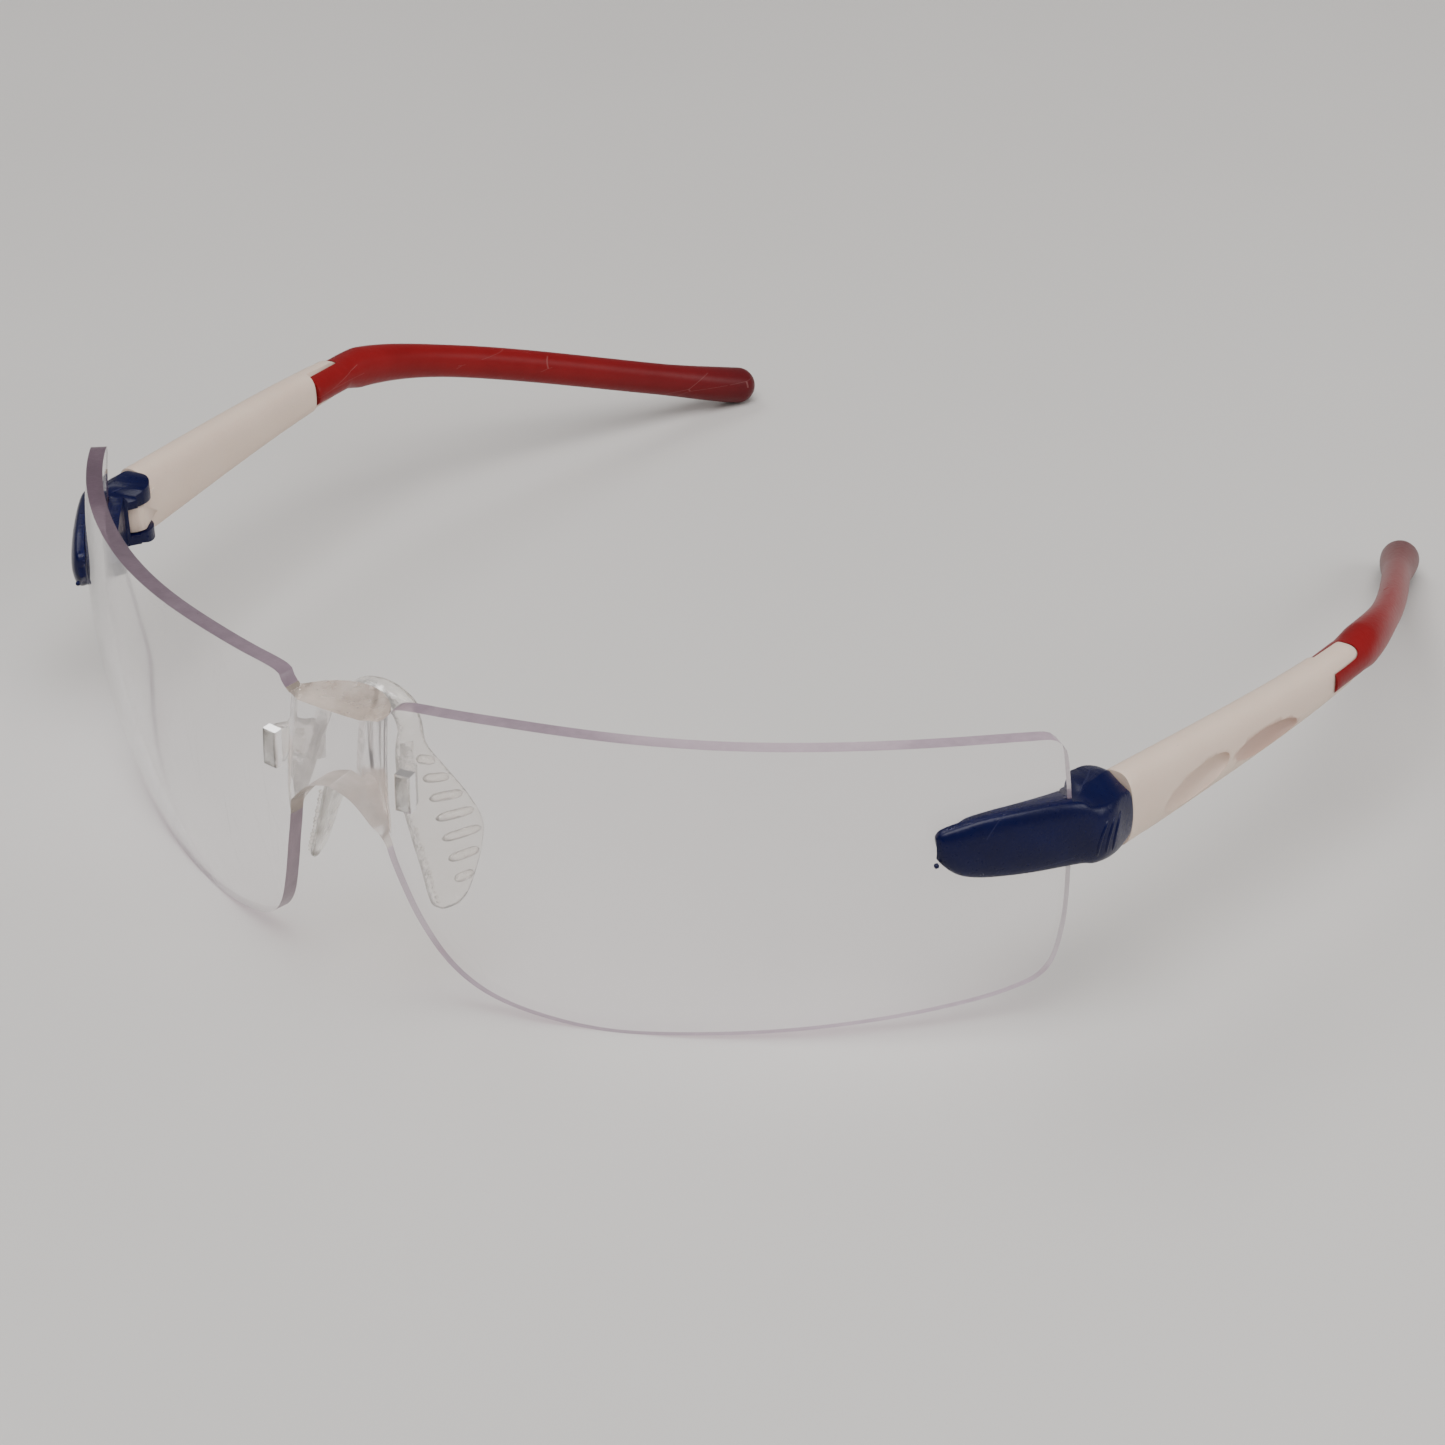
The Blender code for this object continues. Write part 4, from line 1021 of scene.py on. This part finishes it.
def clip_stations():
    """Along the clip: arc, depth of its outer face, of its rim, top, inner top, foot."""
    nose = LENS_HALF_ARC - CLIP_REACH
    edge = LENS_HALF_ARC
    face = -FIT_GAP - LEAF
    rim = -FIT_GAP - LEAF_EDGE
    top = CLIP_TOP
    foot = CLIP_FOOT
    drop = INNER_LEAF_DROP
    end_top = CLIP_END_TOP
    end_foot = CLIP_END_FOOT
    return (
        (nose, 0.55 * face, rim, foot + 6.0 * MM, top - 1.2 * drop, foot + 3.6 * MM),
        (nose + 0.5 * MM, 0.8 * face, rim, top - 0.5 * MM, top - 1.05 * drop, foot + 2.9 * MM),
        (nose + 1.6 * MM, 0.95 * face, rim, top - 0.1 * MM, top - 0.83 * drop, foot + 1.8 * MM),
        (nose + 3.0 * MM, face, rim, top + 0.2 * MM, top - 0.63 * drop, foot + 1.0 * MM),
        (nose + 5.4 * MM, face, rim, top + 0.6 * MM, top - 0.5 * drop, foot + 0.45 * MM),
        (nose + 9.7 * MM, face, rim, top + 0.8 * MM, top - 0.33 * drop, foot + 0.1 * MM),
        (edge - 1.5 * MM, face, rim, top + 0.8 * MM, top - 0.15 * drop, foot),
        (edge + 0.8 * MM, face, rim, top + 0.5 * MM, top, foot - 0.1 * MM),
        (edge + 2.2 * MM, face, -0.6 * MM, top - 0.3 * MM, end_top, end_foot + 0.1 * MM),
        (edge + 3.6 * MM, face + 0.2 * MM, -0.2 * MM, top - 0.6 * MM, end_top + 0.2 * MM, end_foot),
        (edge + 5.0 * MM, -1.0 * MM, 0.3 * MM, top - 0.7 * MM, end_top + 0.4 * MM, end_foot),
        (edge + 6.5 * MM, 0.2 * MM, 1.2 * MM, top - 0.8 * MM, end_top, end_foot),
        (edge + 8.6 * MM, 1.6 * MM, 2.4 * MM, top - 1.6 * MM, end_top - 1.7 * MM, end_foot + 0.8 * MM),
    )


def outer_face(station, turn):
    """A place on the clip's bulging outer face: depth and height, turn from -90 at its foot to 90."""
    _, face, rim, top, _, foot = station
    bulge = (rim - face) * max(0.0, math.cos(math.radians(turn))) ** 0.8
    return rim - bulge, (top + foot) / 2 + (top - foot) / 2 * math.sin(math.radians(turn))


def clip_ring(station):
    arc, _, rim, top, inner_top, foot = station
    past = arc - LENS_HALF_ARC
    step = LENS_THICKNESS / 2
    crest = step + 0.2 * MM
    step_top = top
    inner = LENS_THICKNESS + FIT_GAP + LEAF
    fall = 0.0
    if past > 0:
        step = rim + 1.2 * MM
        crest = rim + 2.6 * MM
        step_top = (top + inner_top) / 2
        inner = min(inner + LEAF_FLARE * past, HINGE_BACK + LOBE_RADIUS)
        fall = CLIP_END_FALL
    lead = INNER_LEAF_LEAD * max(0.0, 1 - (past + CLIP_REACH) / (0.5 * CLIP_REACH))
    ring = [lens_point(arc, *outer_face(station, -90 + 180 * i / 28)) for i in range(29)]
    for near, depth, height in (
        (0.0, step, step_top),
        (0.5 * lead, crest, inner_top),
        (lead, inner, inner_top - fall),
        (lead, inner, foot + 0.25 * lead),
    ):
        ring.append(lens_point(arc + near, depth, height))
    return ring


def behind_hinge():
    """In plan, everything behind the clip's outer wall and its round lobes."""
    far = 30 * MM
    plan = [(AXIS.x + far, AXIS.y + far), (AXIS.x + far, AXIS.y + WALL_REACH)]
    plan += hinge_arc(LOBE_RADIUS, 62, 148, 24)
    return plan + [(AXIS.x - far, AXIS.y - 0.3 * far), (AXIS.x - far, AXIS.y + far)]


def fork_plan():
    """Everything that the temple's tongue sweeps as it folds."""
    reach = KNUCKLE_RADIUS + TONGUE_GAP
    far = 20 * MM
    plan = [(AXIS.x + reach, AXIS.y + far), (AXIS.x - far, AXIS.y + far), (AXIS.x - far, AXIS.y - reach)]
    return plan + hinge_arc(reach, -90, 90, 24)


def lens_slot():
    """The slot that takes the lens, bent as the lens is."""
    gap = 0.15 * MM
    low = (LENS_HALF_ARC - CLIP_REACH - 4 * MM, -gap, CLIP_END_FOOT - 2 * MM)
    high = (LENS_HALF_ARC + gap, LENS_THICKNESS + gap, CLIP_END_TOP + 2 * MM)
    slot = box(low, high)
    slice_solid(slot, 0, 1 * MM, low[0], high[0])
    slice_solid(slot, 2, 1 * MM, low[2], high[2])
    return bend(slot)


def make_clip(material):
    body = loft([clip_ring(station) for station in spread(clip_stations(), 85)])
    bmesh.ops.triangulate(body, faces=body.faces)
    clip = new_object("clip_body_left", body)
    cut(clip, prism(behind_hinge(), 0.0, LENS_HEIGHT))
    cut(clip, lens_slot())
    cut(clip, prism(fork_plan(), TONGUE_FOOT - TONGUE_GAP, TONGUE_TOP + TONGUE_GAP))
    cut(clip, hinge_cylinder(PIN_BORE, CLIP_END_FOOT - MM, PIN_TOP))
    cut(clip, hinge_cylinder(PIN_SEAT, CLIP_END_FOOT - MM, CLIP_END_FOOT + PIN_HEAD_HEIGHT))
    dress(clip, material, CLIP_ROUND, angle=35.0)
    return clip


def grip_line(index):
    """The line of one grip rib, slanting across the bulge beside the hinge."""
    stations = clip_stations()
    line = []
    for i in range(13):
        slant = i / 12
        place = 8.1 + 0.75 * index + 1.0 * slant - 0.3 * math.sin(math.pi * slant)
        station = between(stations, place)
        depth, height = outer_face(station, -42 + 78 * slant)
        line.append(lens_point(station[0], depth + 0.4 * GRIP_RADIUS, height))
    return line


def gate_line():
    """The stub that the moulding gate leaves at the clip's front end."""
    start = lens_point(LENS_HALF_ARC - CLIP_REACH + 0.2 * MM, -1.2 * MM, CLIP_FOOT + 3.0 * MM)
    end = lens_point(LENS_HALF_ARC - CLIP_REACH - 0.35 * MM, -1.3 * MM, CLIP_FOOT + 2.9 * MM)
    return [start.lerp(end, i / 4) for i in range(5)]


def make_clips(bead, material):
    left = make_clip(material)
    grips = lines_object("clip_grips_left", [grip_line(k) for k in range(GRIP_COUNT)])
    grow(grips, bead, Radius=GRIP_RADIUS, Points=24, Sides=12, Fullness=4.0, Material=material)
    gate = lines_object("clip_gate_left", [gate_line()])
    grow(gate, bead, Radius=0.3 * MM, Points=10, Sides=12, Fullness=4.0, Material=material)
    right = [mirror_copy(piece) for piece in (left, grips, gate)]
    hand_over([left, grips, gate, *right], "front")
    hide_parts("clip_left")
    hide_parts("clip_right")


# --- temples ---


def temple_section(share, grow_by=0.0):
    """The middle, half width and half height of the white temple, from its front (0) to its end (1)."""
    back = TEMPLE_START + share * (TEMPLE_LENGTH - TEMPLE_START)
    outward = TEMPLE_OFFSET + TEMPLE_SPLAY * share - TEMPLE_BOW * share**4
    width, height, middle = (a + share * (b - a) for a, b in zip(TEMPLE_FRONT, TEMPLE_BACK))
    centre = AXIS + Vector((outward, back, middle))
    return centre, width / 2 + grow_by, height / 2 + grow_by


def temple_solid(grow_by=0.0):
    """The white temple without its tongue: a tapering oval with a rounded back end."""
    rings = []
    nose = 2.6 * MM / (TEMPLE_LENGTH - TEMPLE_START)
    steps = 60
    for i in range(steps + 1):
        rings.append(oval_ring(*temple_section((1 - nose) * i / steps, grow_by)))
    for i in range(1, 13):
        turn = math.pi / 2 * i / 12.5
        middle, half_width, half_height = temple_section(1 - nose + nose * math.sin(turn), grow_by)
        round_off = max(0.08, math.cos(turn))
        rings.append(oval_ring(middle, half_width * (0.5 + 0.5 * round_off), half_height * round_off))
    if grow_by:
        rings[0] = [point - Vector((0, grow_by, 0)) for point in rings[0]]
        rings[-1] = [point + Vector((0, grow_by, 0)) for point in rings[-1]]
    return loft(rings)


def lap_box(side_of_lap, shift):
    """The space inside (-1) or outside (+1) the lap joint between temple and tip, moved outwards."""
    end, half_width, _ = temple_section(1.0)
    begin, _, _ = temple_section(1.0 - LAP_LENGTH / TEMPLE_LENGTH)
    slope = (end.x - begin.x) / (end.y - begin.y)
    seam = begin.x - 0.25 * half_width + shift
    far = 15 * MM
    low = begin.y if side_of_lap < 0 else begin.y - 10 * MM
    high = end.y + 10 * MM
    near_low = seam + slope * (low - begin.y)
    near_high = seam + slope * (high - begin.y)
    plan = [
        (near_low, low),
        (near_high, high),
        (near_high + side_of_lap * far, high),
        (near_low + side_of_lap * far, low),
    ]
    return prism(plan, 0.0, CLIP_END_TOP)


def tongue_solid():
    """The hinge tongue: a round knuckle that runs back into the temple."""
    middle, half_width, _ = temple_section(0.06)
    plan = hinge_arc(KNUCKLE_RADIUS, 180, 180, 32)
    plan.append((AXIS.x + KNUCKLE_RADIUS, AXIS.y + WALL_REACH))
    plan.append((middle.x + 0.6 * half_width, middle.y))
    plan.append((middle.x - 0.8 * half_width, middle.y))
    return prism(plan, TONGUE_FOOT, TONGUE_TOP)


def scoop_frame(index):
    """Centre, half sizes and lean of one almond-shaped hollow in the temple's outer face."""
    place = SCOOP_START + SCOOP_LENGTH * (index + 0.5) - WALL_REACH
    middle, half_width, half_height = temple_section(place / (TEMPLE_LENGTH - TEMPLE_START))
    height = SCOOP_HEIGHT * (1.0 - 0.2 * index)
    size = Vector((2 * SCOOP_DEPTH, 0.54 * SCOOP_LENGTH, height / 2))
    centre = middle + Vector((half_width + 0.85 * SCOOP_DEPTH, 0.0, -0.38 * half_height))
    return centre, size, Matrix.Rotation(math.radians(9 if index == 0 else -4), 3, "X")


def scoop_solid(index):
    centre, size, lean = scoop_frame(index)
    scoop = bmesh.new()
    bmesh.ops.create_uvsphere(scoop, u_segments=72, v_segments=48, radius=1.0)
    bmesh.ops.scale(scoop, vec=size, verts=scoop.verts)
    bmesh.ops.rotate(scoop, cent=(0, 0, 0), matrix=lean, verts=scoop.verts)
    bmesh.ops.translate(scoop, vec=centre, verts=scoop.verts)
    return scoop


def mark_painted_scoop_shade(obj):
    """Writes the scoops' painted shade on the corners that lie on a scoop's wall, 1 in the rear scoop and
    0.35 in the front one, for the material to shade darker.
    """
    mark = obj.data.attributes.new("hollow_shade", "FLOAT", "POINT")
    frames = [scoop_frame(index) for index in range(2)]
    for vert in obj.data.vertices:
        for index, (centre, size, lean) in enumerate(frames):
            local = lean.inverted() @ (vert.co - centre)
            reach = math.sqrt(sum((local[k] / size[k]) ** 2 for k in range(3)))
            if reach < 1.03:
                mark.data[vert.index].value = 1.0 if index else 0.35


def make_temple(material):
    temple = new_object("temple_arm_left", temple_solid())
    cut(temple, lap_box(-1, 0.0))
    for index in range(2):
        cut(temple, scoop_solid(index))
    room = 2 * (LOBE_RADIUS + FIT_GAP)
    cut(temple, hinge_cylinder(room, TONGUE_TOP, CLIP_END_TOP + MM))
    cut(temple, hinge_cylinder(room, CLIP_END_FOOT - MM, TONGUE_FOOT))
    combine(temple, "UNION", new_object("tongue", tongue_solid()))
    cut(temple, hinge_cylinder(PIN_BORE, TONGUE_FOOT - MM, TONGUE_TOP + MM))
    dress(temple, material, TEMPLE_ROUND, angle=28.0)
    mark_painted_scoop_shade(temple)
    return temple


def parting_line():
    """The fine moulding line along the lower edge of the temple's outer face."""
    line = []
    for i in range(40):
        middle, half_width, half_height = temple_section(0.06 + 0.86 * i / 39)
        turn = math.radians(-62)
        across = fuller(math.cos(turn), 0.75) * half_width
        up = fuller(math.sin(turn), 0.75) * half_height
        line.append(middle + Vector((across - 0.05 * MM, 0.0, up + 0.03 * MM)))
    return line


def make_temples(bead, material):
    left = make_temple(material)
    seam = lines_object("temple_seam_left", [parting_line()])
    grow(seam, bead, Radius=0.14 * MM, Points=90, Sides=10, Fullness=12.0, Material=material)
    right = [mirror_copy(piece) for piece in (left, seam)]
    hand_over([left, seam], "left_temple")
    hand_over(right, "right_temple")
    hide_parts("temple_left")
    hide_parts("temple_right")


# --- tips ---


def bezier_point(controls, t):
    a, b, c, d = controls
    s = 1 - t
    return a * s**3 + b * 3 * s**2 * t + c * 3 * s * t**2 + d * t**3


def tip_path():
    """The tip's middle line: on from the temple, then in and down to the bulb on the table."""
    end = temple_section(1.0)[0]
    begin = temple_section(1.0 - LAP_LENGTH / TEMPLE_LENGTH)[0]
    bulb = Vector((end.x - TIP_TUCK, end.y + TIP_RUN, TIP_BULB / 2))
    first = Vector((-TIP_START_LEAN, 1.0, -0.06)).normalized()
    last = Vector((-TIP_END_LEAN, 1.0, -TIP_END_DIP)).normalized()
    return begin, (end, end + first * 0.25 * TIP_RUN, bulb - last * 0.38 * TIP_RUN, bulb)


def tip_size(t):
    """Half width and half height of the tip at a share of its run."""
    slim = ease(t / 0.35)
    swell = ease((t - 0.80) / 0.20)
    half_bulb = TIP_BULB / 2
    width, height = (
        (front + (stalk - front) * slim) / 2 + (half_bulb - stalk / 2) * swell
        for front, stalk in zip(TIP_FRONT, TIP_STALK)
    )
    lap_height = TEMPLE_BACK[1] / 2 - FIT_GAP
    height -= (TIP_FRONT[1] / 2 - lap_height) * max(0.0, 1 - t / 0.07)
    return width, height


def tip_solid():
    begin, controls = tip_path()
    rings = []
    lap = tip_size(0.0)
    for i in range(8):
        rings.append(oval_ring(begin.lerp(controls[0], i / 8) + Vector((0, 0.3 * MM, 0)), *lap, square=0.95))
    steps = 90
    for i in range(steps + 1):
        t = i / steps
        ahead = bezier_point(controls, min(1.0, t + 0.01)) - bezier_point(controls, max(0.0, t - 0.01))
        turn = ahead.to_track_quat("Y", "Z").to_matrix()
        ring = oval_ring(Vector(), *tip_size(t), square=1.0)
        rings.append([bezier_point(controls, t) + turn @ offset for offset in ring])
    half_bulb = TIP_BULB / 2
    for i in range(1, 16):
        angle = math.pi / 2 * i / 15.6
        point = controls[3] + turn @ Vector((0, half_bulb * math.sin(angle), 0))
        radius = half_bulb * math.cos(angle)
        ring = oval_ring(Vector(), radius, radius, square=1.0)
        rings.append([point + turn @ offset for offset in ring])
    return loft(rings)


def mark_along(obj):
    """Writes how far along the tip each corner lies, for the material to follow."""
    end = temple_section(1.0)[0].y
    mark = obj.data.attributes.new("along", "FLOAT", "POINT")
    for vert in obj.data.vertices:
        mark.data[vert.index].value = min(1.0, max(0.0, (vert.co.y - end) / TIP_RUN))


def bend_mark_line():
    """The short curved mark that the mould leaves on the inside of the bend."""
    controls = tip_path()[1]
    line = []
    for i in range(17):
        share = i / 16
        t = 0.42 + 0.10 * share
        half_width, half_height = tip_size(t)
        turn = math.radians(120 - 26 * math.sin(math.pi * share))
        offset = Vector((half_width * math.cos(turn), 0.0, half_height * math.sin(turn)))
        line.append(bezier_point(controls, t) + offset * 0.99)
    return line


def make_tips(bead, material):
    left = new_object("tip_sleeve_left", tip_solid())
    room = new_object("temple_room", temple_solid(grow_by=LAP_GAP))
    combine(room, "INTERSECT", new_object("outer_half", lap_box(1, -LAP_GAP)))
    combine(left, "DIFFERENCE", room)
    dress(left, material, TIP_ROUND, angle=35.0)
    mark_along(left)
    mark = lines_object("tip_mark_left", [bend_mark_line()])
    grow(mark, bead, Radius=0.13 * MM, Points=20, Sides=10, Fullness=6.0, Material=material)
    right = [mirror_copy(piece) for piece in (left, mark)]
    hand_over([left, mark], "left_temple")
    hand_over(right, "right_temple")
    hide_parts("temple_tip_left")
    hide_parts("temple_tip_right")


def dress_pins(material):
    """The pins are shown as they are, in turned steel."""
    for name in ("hinge_pin_left", "hinge_pin_right"):
        pin = frame["nodes"][name]
        pin.data.materials.clear()
        pin.data.materials.append(material)


# --- studio ---


def make_floor():
    solid = bmesh.new()
    bmesh.ops.create_grid(solid, x_segments=1, y_segments=1, size=4.0)
    floor = new_object("studio_floor", solid)
    floor.location.z = -0.02 * MM
    floor.data.materials.append(floor_finish())


def make_lamp(name, direction, distance, size, power, aim=(0.0, 0.0, 0.02)):
    """A soft square lamp that faces the glasses."""
    light = bpy.data.lights.new(name, "AREA")
    light.shape = "RECTANGLE"
    light.size, light.size_y = size
    light.energy = power
    lamp = link(name, light)
    towards = Vector(direction).normalized()
    lamp.location = Vector(aim) + towards * distance
    lamp.rotation_mode = "QUATERNION"
    lamp.rotation_quaternion = towards.to_track_quat("Z", "Y")


def make_light():
    world = bpy.data.worlds.new("studio")
    world.use_nodes = True
    sky = world.node_tree.nodes["Background"]
    sky.inputs["Color"].default_value = (1.0, 0.97, 0.95, 1.0)
    sky.inputs["Strength"].default_value = 0.28
    bpy.context.scene.world = world
    make_lamp("key_lamp", (0.25, -0.35, 1.0), 1.1, (0.9, 0.7), 12.0)
    make_lamp("side_lamp", (1.0, 0.22, 0.55), 1.2, (0.7, 0.5), 5.0)
    make_lamp("back_lamp", (-0.9, 0.3, 1.1), 1.3, (0.6, 0.5), 3.0)


def place_camera():
    camera = link("camera", bpy.data.cameras.new("camera"))
    azimuth = math.radians(VIEW_AZIMUTH)
    elevation = math.radians(VIEW_ELEVATION)
    level = math.cos(elevation)
    back = Vector((math.sin(azimuth) * level, -math.cos(azimuth) * level, math.sin(elevation)))
    camera.location = Vector(VIEW_TARGET) + SHIFT + back * VIEW_DISTANCE
    camera.rotation_mode = "QUATERNION"
    roll = Quaternion((0.0, 0.0, 1.0), math.radians(VIEW_ROLL))
    camera.rotation_quaternion = (-back).to_track_quat("-Z", "Y") @ roll
    camera.data.sensor_width = 36.0
    camera.data.lens = VIEW_LENS
    camera.data.clip_start = 0.01
    bpy.context.scene.camera = camera


# --- the whole object ---

bead = bead_tree()
teeth = teeth_tree()
soft_clear = soft_clear_finish()
blue = blue_finish()
white = white_finish()
red = red_finish()

make_lens(clear_lens_finish(), cut_edge_finish(), bridge_finish())
make_nosepiece(soft_clear)
make_pad_details(bead, teeth, soft_clear)
make_clips(bead, blue)
make_temples(bead, white)
make_tips(bead, red)
dress_pins(steel_finish())
make_floor()
make_light()
place_camera()
